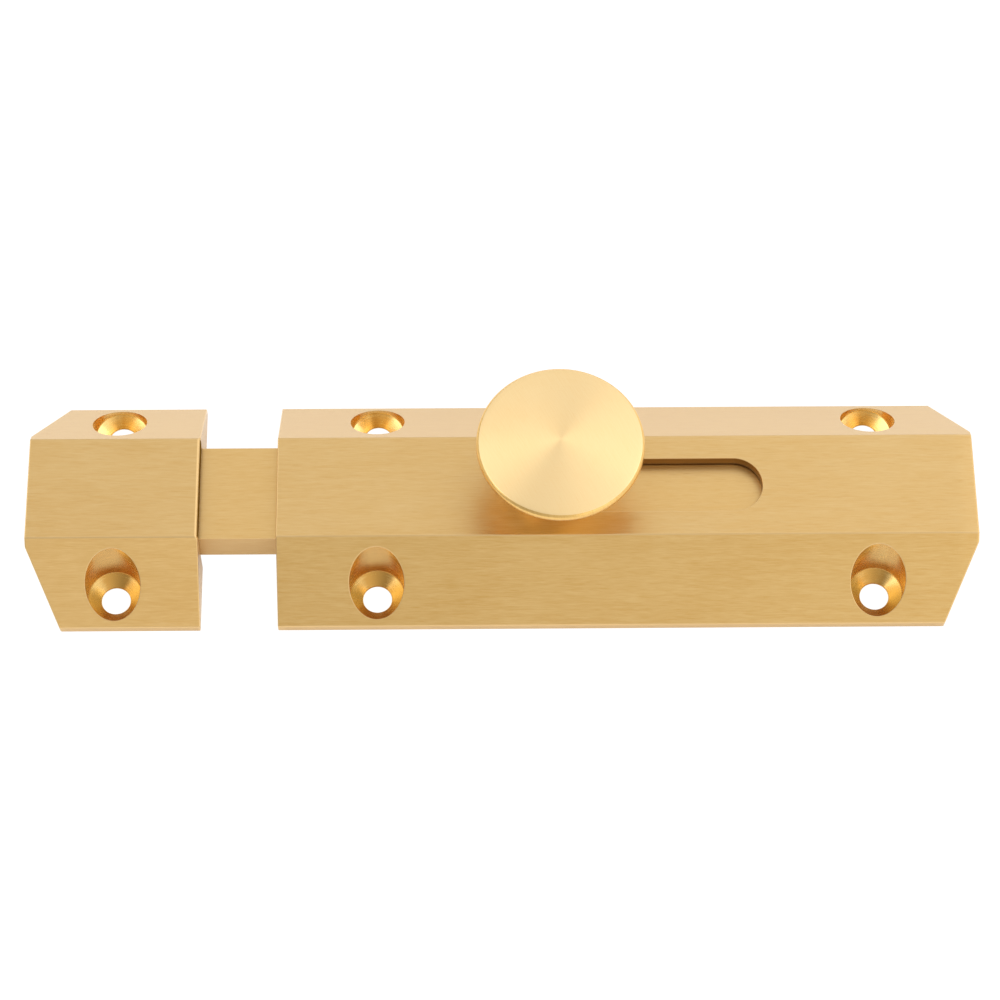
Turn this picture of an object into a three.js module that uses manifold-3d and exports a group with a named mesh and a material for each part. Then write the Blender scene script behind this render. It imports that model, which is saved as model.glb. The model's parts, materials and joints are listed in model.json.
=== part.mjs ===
// Surface slide bolt with its keep, in solid brass.
//
// A flat bar slides in a channel milled up the back of a chamfered casing. A turned knob, screwed to the
// bar through a slot in the casing's front, pushes the bar into the socket of a separate keep. A back
// plate closes the channel, and a leaf spring riveted to it presses the bar against the channel roof.
//
// Millimetres, +Z up and away from the door. X runs along the bar: the bar shoots towards -X.
// The origin is the middle of the set's length and width, on the plane of the door. Inside the file X is
// counted from the casing's open end, the mouth, and one group moves everything to the origin.

import * as THREE from 'three';
import { mergeVertices } from 'three/addons/utils/BufferGeometryUtils.js';
import Module from 'manifold-3d';

const wasm = await Module();
wasm.setup();

// ---------------------------------------------------------------- driving dimensions

const GAP = 0.3;                   // clearance round every piece that touches or slides in another
const REACH = 1;                   // how far a cutting tool passes a face that it breaks through

const CASING_LENGTH = 102;
const KEEP_LENGTH = 25;
const TOP_FLAT_WIDTH = 16;         // flat front face, between the sloping sides
const SIDE_LAND = 1.4;             // height of the upright edge below a sloping side
const END_FACE_WIDTH = 18;         // closed end face, where its cut corners meet the sloping sides
const END_FOOT_WIDTH = 15;         // closed end face at the door: the cut corners lean inwards
const END_CORNER_DEPTH = 4.5;      // how far along X a cut corner runs, at the top of the side's land

const BOLT_WIDTH = 14.8;
const BOLT_THICKNESS = 5.4;
const BOLT_NOSE_CHAMFER = 0.5;
const TRAVEL = 25.4;               // the bar's stroke: its nose ends flush with the mouth
const NOSE_ENGAGEMENT = 14.1;      // how far the nose enters the keep
const TAIL_CLEARANCE = 1.0;        // room left behind the bar's tail when it is drawn back

const ROOF = 1.7;                  // casing wall in front of the bar
const CASING_END_WALL = 3.5;
const KEEP_END_WALL = 4.0;

const SCREW_HEAD_DIAMETER = 8.0;   // counterbore for a No. 8 countersunk wood screw
const SCREW_HOLE_DIAMETER = 4.2;
const SCREW_LAND = 0.3;            // short straight hole left under the countersink
const SCREW_CONE_DEPTH = 1.3;      // countersink between the counterbore and the hole
const SCREW_INNER_WALL = 1.5;      // metal between the channel and a counterbore
const SCREW_OUTER_WALL = 0.8;      // metal between a counterbore and the side
const SCREW_END_DISTANCE = 14.5;   // from each end of the casing

const SLOT_WIDTH = 8.5;
const SLOT_OVERRUN = 0.2;          // slot past the end of the knob's stroke
const KNOB_FROM_MOUTH = 41;        // knob axis with the bolt shot
const KNOB_DIAMETER = 24;
const KNOB_RIM_ABOVE_ROOF = 13.8;  // rim's top edge above the casing's flat front
const KNOB_RIM_THICKNESS = 1.2;
const KNOB_RIM_BEVEL = 0.4;
const KNOB_DOME_RISE = 0.8;
const KNOB_NECK_ABOVE_ROOF = 2.5;  // where the straight shank ends and the head begins to flare

const KNOB_SCREW_DIAMETER = 4.0;
const KNOB_SCREW_HEAD = 7.6;
const KNOB_SCREW_DEPTH = 6.0;      // thread length inside the knob
const DRIVER_SLOT_WIDTH = 0.9;
const DRIVER_SLOT_DEPTH = 0.7;

const PLATE_RECESS = 0.2;          // back plate lies this far below the door plane
const PLATE_THICKNESS = 1.5;
const PLATE_START = 2.3;           // plate's end behind the mouth
const PLATE_END_MARGIN = 3.0;      // plate's end before the casing's closed end
const PLATE_LEDGE = 1.0;           // ledge beside the channel that the plate's tongues lie on
const PLATE_WING = 6.6;            // how far the plate's wide middle passes the channel
const PLATE_HOLE_MARGIN = 3.5;     // from a fixing counterbore to the plate's wide middle
const PLATE_SCREW_INSET = 4.0;     // screw axis from the end of the wide middle
const PLATE_SCREW_DIAMETER = 2.5;
const PLATE_SCREW_HEAD = 4.6;
const PLATE_SCREW_LENGTH = 4.4;
const PLATE_SCREW_RIM = 0.8;       // metal outside a screw's countersink, at the plate's side

const SPRING_SPACE = 1.9;          // height left between the plate and the bar
const SPRING_THICKNESS = 0.35;
const SPRING_WIDTH = 10;
const SPRING_LENGTH = 24;
const SPRING_TAB = 5.0;            // flat end under the rivet
const SPRING_FROM_MOUTH = 9.0;
const RIVET_DIAMETER = 2.0;
const RIVET_HEAD_DIAMETER = 3.8;
const RIVET_HEAD_THICKNESS = 0.6;

const ROUND_SIDES = 48;            // sides of a visible round
const SMALL_SIDES = 24;            // sides of a small hidden round
const SPRING_STEPS = 16;

// ---------------------------------------------------------------- sizes that follow from them

const CHANNEL_HALF = BOLT_WIDTH / 2 + GAP;
const SCREW_RADIUS = SCREW_HEAD_DIAMETER / 2;
const SCREW_Y = CHANNEL_HALF + SCREW_INNER_WALL + SCREW_RADIUS;
const BODY_WIDTH = 2 * (SCREW_Y + SCREW_RADIUS + SCREW_OUTER_WALL);

const PLATE_TOP = PLATE_RECESS + PLATE_THICKNESS;
const REBATE_TOP = PLATE_TOP + GAP;
const BOLT_BOTTOM = PLATE_TOP + SPRING_SPACE;
const BOLT_TOP = BOLT_BOTTOM + BOLT_THICKNESS;
const CHANNEL_TOP = BOLT_TOP + GAP;
const BODY_HEIGHT = CHANNEL_TOP + ROOF;

const CHANNEL_END = CASING_LENGTH - CASING_END_WALL;
const BOLT_TAIL = CHANNEL_END - TAIL_CLEARANCE - TRAVEL;
const BOLT_NOSE = -TRAVEL;
const KEEP_MOUTH = BOLT_NOSE + NOSE_ENGAGEMENT;
const KEEP_SOCKET_DEPTH = KEEP_LENGTH - KEEP_END_WALL;
const SET_MIDDLE = (CASING_LENGTH + KEEP_MOUTH - KEEP_LENGTH) / 2;

const SHANK_RADIUS = SLOT_WIDTH / 2 - GAP;
const SLOT_LENGTH = TRAVEL + SLOT_OVERRUN;

const WIDE_START = SCREW_END_DISTANCE + SCREW_RADIUS + PLATE_HOLE_MARGIN;
const WIDE_END = CASING_LENGTH - WIDE_START;
const PLATE_END = CASING_LENGTH - PLATE_END_MARGIN;
const PLATE_SCREW_Y = CHANNEL_HALF + PLATE_WING - 2 * GAP - PLATE_SCREW_RIM - PLATE_SCREW_HEAD / 2;

// ---------------------------------------------------------------- materials

function metal(colour, roughness) {
  return new THREE.MeshStandardMaterial({ color: colour, roughness, metalness: 1, flatShading: true });
}

const SATIN_BRASS = metal(0xd9b273, 0.42);
const TURNED_BRASS = metal(0xe8c27a, 0.34);
const PLATE_BRASS = metal(0xc9a05c, 0.5);
const SPRING_BRONZE = metal(0xb9824a, 0.4);
const STEEL = metal(0xa9abae, 0.4);

// ---------------------------------------------------------------- solids and tools

// A closed geometry as a solid, with its shared corners merged and its collapsed triangles left out.
function solidOf(geometry) {
  const plain = geometry.clone();
  plain.deleteAttribute('normal');
  plain.deleteAttribute('uv');
  const merged = mergeVertices(plain, 1e-4);
  const corners = merged.index.array;
  const triVerts = [];
  for (let i = 0; i < corners.length; i += 3) {
    const [a, b, c] = [corners[i], corners[i + 1], corners[i + 2]];
    if (a !== b && b !== c && c !== a) triVerts.push(a, b, c);
  }
  return new wasm.Manifold(new wasm.Mesh({
    numProp: 3,
    vertProperties: new Float32Array(merged.attributes.position.array),
    triVerts: new Uint32Array(triVerts),
  }));
}

// A solid as a named mesh.
function meshOf(name, solid, material) {
  const { vertProperties, triVerts } = solid.getMesh();
  const geometry = new THREE.BufferGeometry();
  geometry.setAttribute('position', new THREE.BufferAttribute(vertProperties, 3));
  geometry.setIndex(new THREE.BufferAttribute(triVerts, 1));
  geometry.computeVertexNormals();
  const mesh = new THREE.Mesh(geometry, material);
  mesh.name = name;
  return mesh;
}

function cutAll(solid, tools) {
  return tools.reduce((left, tool) => left.subtract(tool), solid);
}

// A box between two corners.
function box([x0, y0, z0], [x1, y1, z1]) {
  const geometry = new THREE.BoxGeometry(x1 - x0, y1 - y0, z1 - z0);
  geometry.translate((x0 + x1) / 2, (y0 + y1) / 2, (z0 + z1) / 2);
  return solidOf(geometry);
}

// An outline in plan, raised from one height to another.
function raised(outline, low, high, curveSegments = ROUND_SIDES / 2) {
  const shape = outline instanceof THREE.Shape ? outline : planShape(outline);
  const geometry = new THREE.ExtrudeGeometry(shape, {
    depth: high - low,
    bevelEnabled: false,
    curveSegments,
  });
  geometry.translate(0, 0, low);
  return solidOf(geometry);
}

function planShape(points) {
  return new THREE.Shape(points.map(([x, y]) => new THREE.Vector2(x, y)));
}

// An outline given as (y, z) corners, run along X.
function runAlongX(section, start, end) {
  const shape = planShape(section);
  const geometry = new THREE.ExtrudeGeometry(shape, { depth: end - start, bevelEnabled: false });
  // The outline's own x and y become Y and Z, and its depth becomes X.
  geometry.applyMatrix4(new THREE.Matrix4().makeBasis(
    new THREE.Vector3(0, 1, 0),
    new THREE.Vector3(0, 0, 1),
    new THREE.Vector3(1, 0, 0),
  ));
  geometry.translate(start, 0, 0);
  return solidOf(geometry);
}

// A body turned about a vertical axis at (x, y), from a profile of (radius, height) points.
function turned(profile, x = 0, y = 0, sides = ROUND_SIDES) {
  const points = profile.map(([radius, height]) => new THREE.Vector2(radius, height));
  const geometry = new THREE.LatheGeometry(points, sides);
  geometry.rotateX(Math.PI / 2);
  geometry.translate(x, y, 0);
  return solidOf(geometry);
}

// ---------------------------------------------------------------- shared forms

// A large block that fills the space beyond a plane, given by three points that run anticlockwise seen
// from beyond.
function beyond(...points) {
  const corners = points.map(([x, y, z]) => new THREE.Vector3(x, y, z));
  const normal = new THREE.Plane().setFromCoplanarPoints(...corners).normal;
  const size = 2 * CASING_LENGTH;
  const geometry = new THREE.BoxGeometry(size, size, size);
  geometry.translate(0, 0, size / 2);
  geometry.applyQuaternion(new THREE.Quaternion().setFromUnitVectors(new THREE.Vector3(0, 0, 1), normal));
  geometry.translate(corners[0].x, corners[0].y, corners[0].z);
  return solidOf(geometry);
}

// The bar that casing and keep are cut from: mouth at X = 0, closed end with its two cut corners at +X.
function chamferedBlock(length) {
  const half = BODY_WIDTH / 2;
  const flat = TOP_FLAT_WIDTH / 2;
  const face = END_FACE_WIDTH / 2;
  const foot = END_FOOT_WIDTH / 2;
  const faceHeight = BODY_HEIGHT - (face - flat) * (BODY_HEIGHT - SIDE_LAND) / (half - flat);
  const section = [
    [-half, 0],
    [half, 0],
    [half, SIDE_LAND],
    [flat, BODY_HEIGHT],
    [-flat, BODY_HEIGHT],
    [-half, SIDE_LAND],
  ];
  const bar = runAlongX(section, 0, length);
  const cornerTop = (side) => [length, side * face, faceHeight];
  const cornerFoot = (side) => [length, side * foot, 0];
  const cornerEnd = (side) => [length - END_CORNER_DEPTH, side * half, SIDE_LAND];
  return cutAll(bar, [
    beyond(cornerTop(1), cornerFoot(1), cornerEnd(1)),
    beyond(cornerTop(-1), cornerEnd(-1), cornerFoot(-1)),
  ]);
}

// Cutting tool for one wood screw: counterbore, countersink and through hole.
function screwHole(x, y) {
  const hole = SCREW_HOLE_DIAMETER / 2;
  const coneTop = SCREW_LAND + SCREW_CONE_DEPTH;
  return turned([
    [0, -REACH],
    [hole, -REACH],
    [hole, SCREW_LAND],
    [SCREW_RADIUS, coneTop],
    [SCREW_RADIUS, BODY_HEIGHT + REACH],
    [0, BODY_HEIGHT + REACH],
  ], x, y);
}

// The two wood screw holes that stand across the body at one station.
function screwHolePair(x) {
  return [-SCREW_Y, SCREW_Y].map((y) => screwHole(x, y));
}

// Plan outline of the back plate, grown by a clearance: narrow tongues and a wide middle.
function plateOutline(grow) {
  const tongue = CHANNEL_HALF + PLATE_LEDGE - GAP + grow;
  const wide = CHANNEL_HALF + PLATE_WING - GAP + grow;
  const halfOutline = [
    [PLATE_START - grow, tongue],
    [WIDE_START - grow, tongue],
    [WIDE_START - grow, wide],
    [WIDE_END + grow, wide],
    [WIDE_END + grow, tongue],
    [PLATE_END + grow, tongue],
  ];
  const otherHalf = halfOutline.map(([x, y]) => [x, -y]).reverse();
  return [...halfOutline, ...otherHalf].reverse();
}

// Where the four back plate screws stand.
function plateScrewPlaces() {
  const places = [];
  for (const x of [WIDE_START + PLATE_SCREW_INSET, WIDE_END - PLATE_SCREW_INSET]) {
    for (const y of [-PLATE_SCREW_Y, PLATE_SCREW_Y]) places.push([x, y]);
  }
  return places;
}

// Profile of a countersunk screw whose head faces down at the height `low`, grown by a clearance.
function countersunkProfile(headDiameter, shankDiameter, low, high, grow) {
  const head = headDiameter / 2 + grow;
  const shank = shankDiameter / 2 + grow;
  const bottom = grow > 0 ? -REACH : low;
  return [
    [0, bottom],
    [head, bottom],
    [head, low],
    [shank, low + head - shank],
    [shank, high + grow],
    [0, high + grow],
  ];
}

// Screwdriver slot across a head that faces down.
function driverSlot(x, y, low, headDiameter) {
  const half = headDiameter;
  return box(
    [x - half, y - DRIVER_SLOT_WIDTH / 2, low - REACH],
    [x + half, y + DRIVER_SLOT_WIDTH / 2, low + DRIVER_SLOT_DEPTH],
  );
}

// ---------------------------------------------------------------- casing

const PLATE_SCREW_TOP = PLATE_RECESS + PLATE_SCREW_LENGTH;

function slotTool() {
  const radius = SLOT_WIDTH / 2;
  const outline = new THREE.Shape();
  outline.absarc(KNOB_FROM_MOUTH + SLOT_LENGTH, 0, radius, -Math.PI / 2, Math.PI / 2, false);
  outline.absarc(KNOB_FROM_MOUTH, 0, radius, Math.PI / 2, 3 * Math.PI / 2, false);
  return raised(outline, CHANNEL_TOP - REACH, BODY_HEIGHT + REACH);
}

function makeCasing() {
  const channel = box([-REACH, -CHANNEL_HALF, -REACH], [CHANNEL_END, CHANNEL_HALF, CHANNEL_TOP]);
  const rebate = raised(plateOutline(GAP), -REACH, REBATE_TOP);
  const pilotRadius = PLATE_SCREW_DIAMETER / 2 + GAP;
  const pilots = plateScrewPlaces().map(([x, y]) => turned([
    [0, -REACH],
    [pilotRadius, -REACH],
    [pilotRadius, PLATE_SCREW_TOP + GAP],
    [0, PLATE_SCREW_TOP + GAP],
  ], x, y, SMALL_SIDES));
  const solid = cutAll(chamferedBlock(CASING_LENGTH), [
    channel,
    rebate,
    slotTool(),
    ...screwHolePair(SCREW_END_DISTANCE),
    ...screwHolePair(CASING_LENGTH - SCREW_END_DISTANCE),
    ...pilots,
  ]);
  return meshOf('casing', solid, SATIN_BRASS);
}

// ---------------------------------------------------------------- bolt, knob and knob screw

const KNOB_SCREW_LOW = BOLT_BOTTOM + GAP;
const KNOB_SCREW_TOP = BOLT_TOP + GAP + KNOB_SCREW_DEPTH;

function makeBolt() {
  const half = BOLT_WIDTH / 2;
  const outline = [
    [BOLT_NOSE + BOLT_NOSE_CHAMFER, -half],
    [BOLT_TAIL, -half],
    [BOLT_TAIL, half],
    [BOLT_NOSE + BOLT_NOSE_CHAMFER, half],
    [BOLT_NOSE, half - BOLT_NOSE_CHAMFER],
    [BOLT_NOSE, -half + BOLT_NOSE_CHAMFER],
  ];
  const hole = countersunkProfile(
    KNOB_SCREW_HEAD, KNOB_SCREW_DIAMETER, KNOB_SCREW_LOW, BOLT_TOP + REACH, GAP,
  );
  const solid = raised(outline, BOLT_BOTTOM, BOLT_TOP).subtract(turned(hole, KNOB_FROM_MOUTH, 0));
  return meshOf('bolt', solid, SATIN_BRASS);
}

function makeKnob() {
  const rim = KNOB_DIAMETER / 2;
  const rimTop = BODY_HEIGHT + KNOB_RIM_ABOVE_ROOF;
  const rimBottom = rimTop - KNOB_RIM_THICKNESS;
  const neck = BODY_HEIGHT + KNOB_NECK_ABOVE_ROOF;
  const flareOuter = rim - KNOB_RIM_BEVEL;
  const hole = KNOB_SCREW_DIAMETER / 2 + GAP;
  const foot = BOLT_TOP + GAP;
  const profile = [[0, KNOB_SCREW_TOP + GAP], [hole, KNOB_SCREW_TOP + GAP], [hole, foot], [SHANK_RADIUS, foot]];
  // The head flares out from the shank in a quarter of an ellipse, like a trumpet.
  const flareSteps = 10;
  for (let i = 0; i <= flareSteps; i += 1) {
    const turn = (i / flareSteps) * Math.PI / 2;
    profile.push([
      flareOuter - (flareOuter - SHANK_RADIUS) * Math.cos(turn),
      neck + (rimBottom - KNOB_RIM_BEVEL - neck) * Math.sin(turn),
    ]);
  }
  profile.push([rim, rimBottom], [rim, rimTop - KNOB_RIM_BEVEL]);
  // The top is a shallow dome from the rim's bevel to the middle.
  const domeSteps = 6;
  for (let i = 0; i <= domeSteps; i += 1) {
    const turn = (i / domeSteps) * Math.PI / 2;
    profile.push([
      flareOuter * Math.cos(turn),
      rimTop + KNOB_DOME_RISE * Math.sin(turn),
    ]);
  }
  profile[profile.length - 1][0] = 0;
  return meshOf('knob', turned(profile, KNOB_FROM_MOUTH, 0), TURNED_BRASS);
}

function makeKnobScrew() {
  const profile = countersunkProfile(
    KNOB_SCREW_HEAD, KNOB_SCREW_DIAMETER, KNOB_SCREW_LOW, KNOB_SCREW_TOP, 0,
  );
  const solid = turned(profile, KNOB_FROM_MOUTH, 0, SMALL_SIDES)
    .subtract(driverSlot(KNOB_FROM_MOUTH, 0, KNOB_SCREW_LOW, KNOB_SCREW_HEAD));
  return meshOf('knob_screw', solid, STEEL);
}

// ---------------------------------------------------------------- back plate, its screws and the spring

const SPRING_LOW = PLATE_TOP + GAP;
const SPRING_HIGH = BOLT_BOTTOM - GAP;
const SPRING_END = SPRING_FROM_MOUTH + SPRING_LENGTH;
const RIVET_X = SPRING_END - SPRING_TAB / 2;
const RIVET_HEAD_LOW = SPRING_LOW + SPRING_THICKNESS + GAP;

function makeBackPlate() {
  const screwHoles = plateScrewPlaces().map(([x, y]) => turned(
    countersunkProfile(PLATE_SCREW_HEAD, PLATE_SCREW_DIAMETER, PLATE_RECESS, PLATE_TOP + REACH, GAP),
    x, y, SMALL_SIDES,
  ));
  const rivetHole = turned(
    countersunkProfile(RIVET_DIAMETER + 2 * RIVET_HEAD_THICKNESS, RIVET_DIAMETER, PLATE_RECESS,
      PLATE_TOP + REACH, GAP),
    RIVET_X, 0, SMALL_SIDES,
  );
  const solid = cutAll(raised(plateOutline(0), PLATE_RECESS, PLATE_TOP), [...screwHoles, rivetHole]);
  return meshOf('back_plate', solid, PLATE_BRASS);
}

function makePlateScrew([x, y], index) {
  const profile = countersunkProfile(
    PLATE_SCREW_HEAD, PLATE_SCREW_DIAMETER, PLATE_RECESS, PLATE_SCREW_TOP, 0,
  );
  const solid = turned(profile, x, y, SMALL_SIDES)
    .subtract(driverSlot(x, y, PLATE_RECESS, PLATE_SCREW_HEAD));
  return meshOf(`plate_screw_${index + 1}`, solid, STEEL);
}

// The spring's free part rises in one smooth wave from the plate to the bar and back.
function makeLeafSpring() {
  const free = SPRING_LENGTH - SPRING_TAB;
  const rise = SPRING_HIGH - SPRING_THICKNESS - SPRING_LOW;
  const underside = [];
  for (let i = 0; i <= SPRING_STEPS; i += 1) {
    const part = i / SPRING_STEPS;
    underside.push([
      SPRING_FROM_MOUTH + free * part,
      SPRING_LOW + rise * (1 - Math.cos(2 * Math.PI * part)) / 2,
    ]);
  }
  underside.push([SPRING_END, SPRING_LOW]);
  const upper = underside.map(([x, z]) => [x, z + SPRING_THICKNESS]).reverse();
  const shape = planShape([...underside, ...upper]);
  const geometry = new THREE.ExtrudeGeometry(shape, { depth: SPRING_WIDTH, bevelEnabled: false });
  geometry.rotateX(Math.PI / 2);
  geometry.translate(0, SPRING_WIDTH / 2, 0);
  const holeRadius = RIVET_DIAMETER / 2 + GAP;
  const hole = turned([
    [0, SPRING_LOW - REACH],
    [holeRadius, SPRING_LOW - REACH],
    [holeRadius, BOLT_BOTTOM],
    [0, BOLT_BOTTOM],
  ], RIVET_X, 0, SMALL_SIDES);
  return meshOf('leaf_spring', solidOf(geometry).subtract(hole), SPRING_BRONZE);
}

function makeSpringRivet() {
  const shank = RIVET_DIAMETER / 2;
  const tail = shank + RIVET_HEAD_THICKNESS;
  const head = RIVET_HEAD_DIAMETER / 2;
  const solid = turned([
    [0, PLATE_RECESS],
    [tail, PLATE_RECESS],
    [shank, PLATE_RECESS + RIVET_HEAD_THICKNESS],
    [shank, RIVET_HEAD_LOW],
    [head, RIVET_HEAD_LOW],
    [head * 0.8, RIVET_HEAD_LOW + RIVET_HEAD_THICKNESS],
    [0, RIVET_HEAD_LOW + RIVET_HEAD_THICKNESS],
  ], RIVET_X, 0, SMALL_SIDES);
  return meshOf('spring_rivet', solid, STEEL);
}

// ---------------------------------------------------------------- keep

// Modelled like the casing, mouth at X = 0, then turned half round to face it.
function makeKeep() {
  const socket = box(
    [-REACH, -CHANNEL_HALF, -REACH],
    [KEEP_SOCKET_DEPTH, CHANNEL_HALF, CHANNEL_TOP],
  );
  const solid = cutAll(chamferedBlock(KEEP_LENGTH), [socket, ...screwHolePair(KEEP_LENGTH / 2)]);
  const mesh = meshOf('keep', solid, SATIN_BRASS);
  mesh.rotation.z = Math.PI;
  mesh.position.x = KEEP_MOUTH;
  return mesh;
}

// ---------------------------------------------------------------- the set

const slidingBolt = new THREE.Group();
slidingBolt.add(makeBolt(), makeKnob(), makeKnobScrew());

const casingSet = new THREE.Group();
casingSet.add(
  makeCasing(),
  makeBackPlate(),
  ...plateScrewPlaces().map(makePlateScrew),
  makeLeafSpring(),
  makeSpringRivet(),
);

const group = new THREE.Group();
group.add(casingSet, slidingBolt, makeKeep());
group.position.x = -SET_MIDDLE;

export default group;
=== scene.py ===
"""Surface slide bolt with its keep: detailed pieces, finishes, studio light and camera.

Lengths are in metres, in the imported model's own frame: +Z points away from the door, and the bar
shoots towards -X into the keep. Each piece is modelled with Blender's operators inside the box of
the node that it stands for, and rides on that node's body.
"""

import json
import logging
import math
from collections.abc import Callable, Sequence
from dataclasses import dataclass
from enum import Enum, IntEnum

import bmesh
import bpy
from mathutils import Matrix, Vector


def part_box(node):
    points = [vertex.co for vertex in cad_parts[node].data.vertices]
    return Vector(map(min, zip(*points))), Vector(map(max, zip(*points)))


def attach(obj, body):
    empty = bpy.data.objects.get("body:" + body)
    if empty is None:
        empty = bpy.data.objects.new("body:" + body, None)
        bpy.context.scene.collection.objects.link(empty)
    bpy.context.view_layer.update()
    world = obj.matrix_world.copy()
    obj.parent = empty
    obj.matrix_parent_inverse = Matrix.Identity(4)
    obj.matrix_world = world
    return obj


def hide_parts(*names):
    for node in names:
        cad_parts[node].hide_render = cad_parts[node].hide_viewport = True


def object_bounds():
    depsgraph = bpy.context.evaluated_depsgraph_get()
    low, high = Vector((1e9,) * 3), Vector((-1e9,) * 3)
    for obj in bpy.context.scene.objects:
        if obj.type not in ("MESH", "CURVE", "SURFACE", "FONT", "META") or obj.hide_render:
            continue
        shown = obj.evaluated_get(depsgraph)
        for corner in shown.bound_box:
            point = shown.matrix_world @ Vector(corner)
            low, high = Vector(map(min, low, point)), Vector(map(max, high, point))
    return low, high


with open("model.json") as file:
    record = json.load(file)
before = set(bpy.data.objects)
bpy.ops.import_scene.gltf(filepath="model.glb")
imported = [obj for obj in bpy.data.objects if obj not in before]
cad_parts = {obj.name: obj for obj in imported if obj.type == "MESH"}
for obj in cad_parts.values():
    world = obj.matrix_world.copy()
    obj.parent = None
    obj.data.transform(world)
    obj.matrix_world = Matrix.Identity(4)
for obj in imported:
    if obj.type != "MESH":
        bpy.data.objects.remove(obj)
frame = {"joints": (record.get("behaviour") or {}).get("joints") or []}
CAD_LOW, CAD_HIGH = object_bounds()

LOG = logging.getLogger("slide_bolt")
MM = 0.001
REACH = 1.0 * MM  # how far a cutter reaches beyond what it cuts
TOUCH = 0.01 * MM  # how near counts as the same place
WELD = 0.002 * MM  # how near two corners are to be made one
FLAT_ANGLE = 0.5  # how little two faces turn, in degrees, to be made one

Colour = tuple[float, float, float]
Spot = tuple[float, float]
Lengths = tuple[float, float, float]
Profile = Sequence[Spot]
PlaceTest = Callable[[Vector], bool]
CornerTest = Callable[[bmesh.types.BMVert], bool]
EdgeTest = Callable[[bmesh.types.BMEdge], bool]
FaceTest = Callable[[bmesh.types.BMFace], bool]


class Skin(IntEnum):
    """Which finish a face of a piece carries, as the number of its material slot."""

    BODY = 0
    EDGE = 1
    BORE = 2
    # Painted shade: the dark finish on the slot's walls, and the painted shadow on the keep's lip.
    SLOT = 3
    # Painted light: a lighter copy of the brushed brass on the front slope.
    FRONT = 4


class Mouth(IntEnum):
    """Which way the open end of a housing's channel faces along X."""

    LEFT = -1
    RIGHT = 1


class Element(Enum):
    """The kind of mesh element that a selection is made of."""

    VERTEX = "VERT"
    EDGE = "EDGE"
    FACE = "FACE"


# ---------------------------------------------------------------- shader tools


class Value:
    """A shader socket, with arithmetic that writes Math nodes into the recipe it belongs to."""

    def __init__(self, recipe: "Recipe", socket: bpy.types.NodeSocket) -> None:
        """Wraps an output socket of a recipe's node."""
        self.recipe = recipe
        self.socket = socket

    def _math(self, operation: str, *terms: "Value | float") -> "Value":
        """Adds one Math node.

        Args:
            operation: The node's operation.
            terms: The numbers or values of its sockets, in order.

        Returns:
            The node's result.
        """
        return self.recipe.node("ShaderNodeMath", {"operation": operation}, dict(enumerate(terms)))

    def __add__(self, other: "Value | float") -> "Value":
        """This value plus another."""
        return self._math("ADD", self, other)

    __radd__ = __add__

    def __sub__(self, other: "Value | float") -> "Value":
        """This value less another."""
        return self._math("SUBTRACT", self, other)

    def __rsub__(self, other: "Value | float") -> "Value":
        """Another value less this one."""
        return self._math("SUBTRACT", other, self)

    def __mul__(self, other: "Value | float") -> "Value":
        """This value times another."""
        return self._math("MULTIPLY", self, other)

    __rmul__ = __mul__

    def __truediv__(self, other: "Value | float") -> "Value":
        """This value over another."""
        return self._math("DIVIDE", self, other)

    def __pow__(self, other: "Value | float") -> "Value":
        """This value to a power."""
        return self._math("POWER", self, other)

    def __abs__(self) -> "Value":
        """This value without its sign."""
        return self._math("ABSOLUTE", self)

    def ramp(self, low: float, high: float) -> "Value":
        """Smoothly steps from 0 to 1 as the value goes from low to high."""
        limits = {"Value": self, "From Min": low, "From Max": high}
        return self.recipe.node("ShaderNodeMapRange", {"interpolation_type": "SMOOTHSTEP"}, limits)


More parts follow.
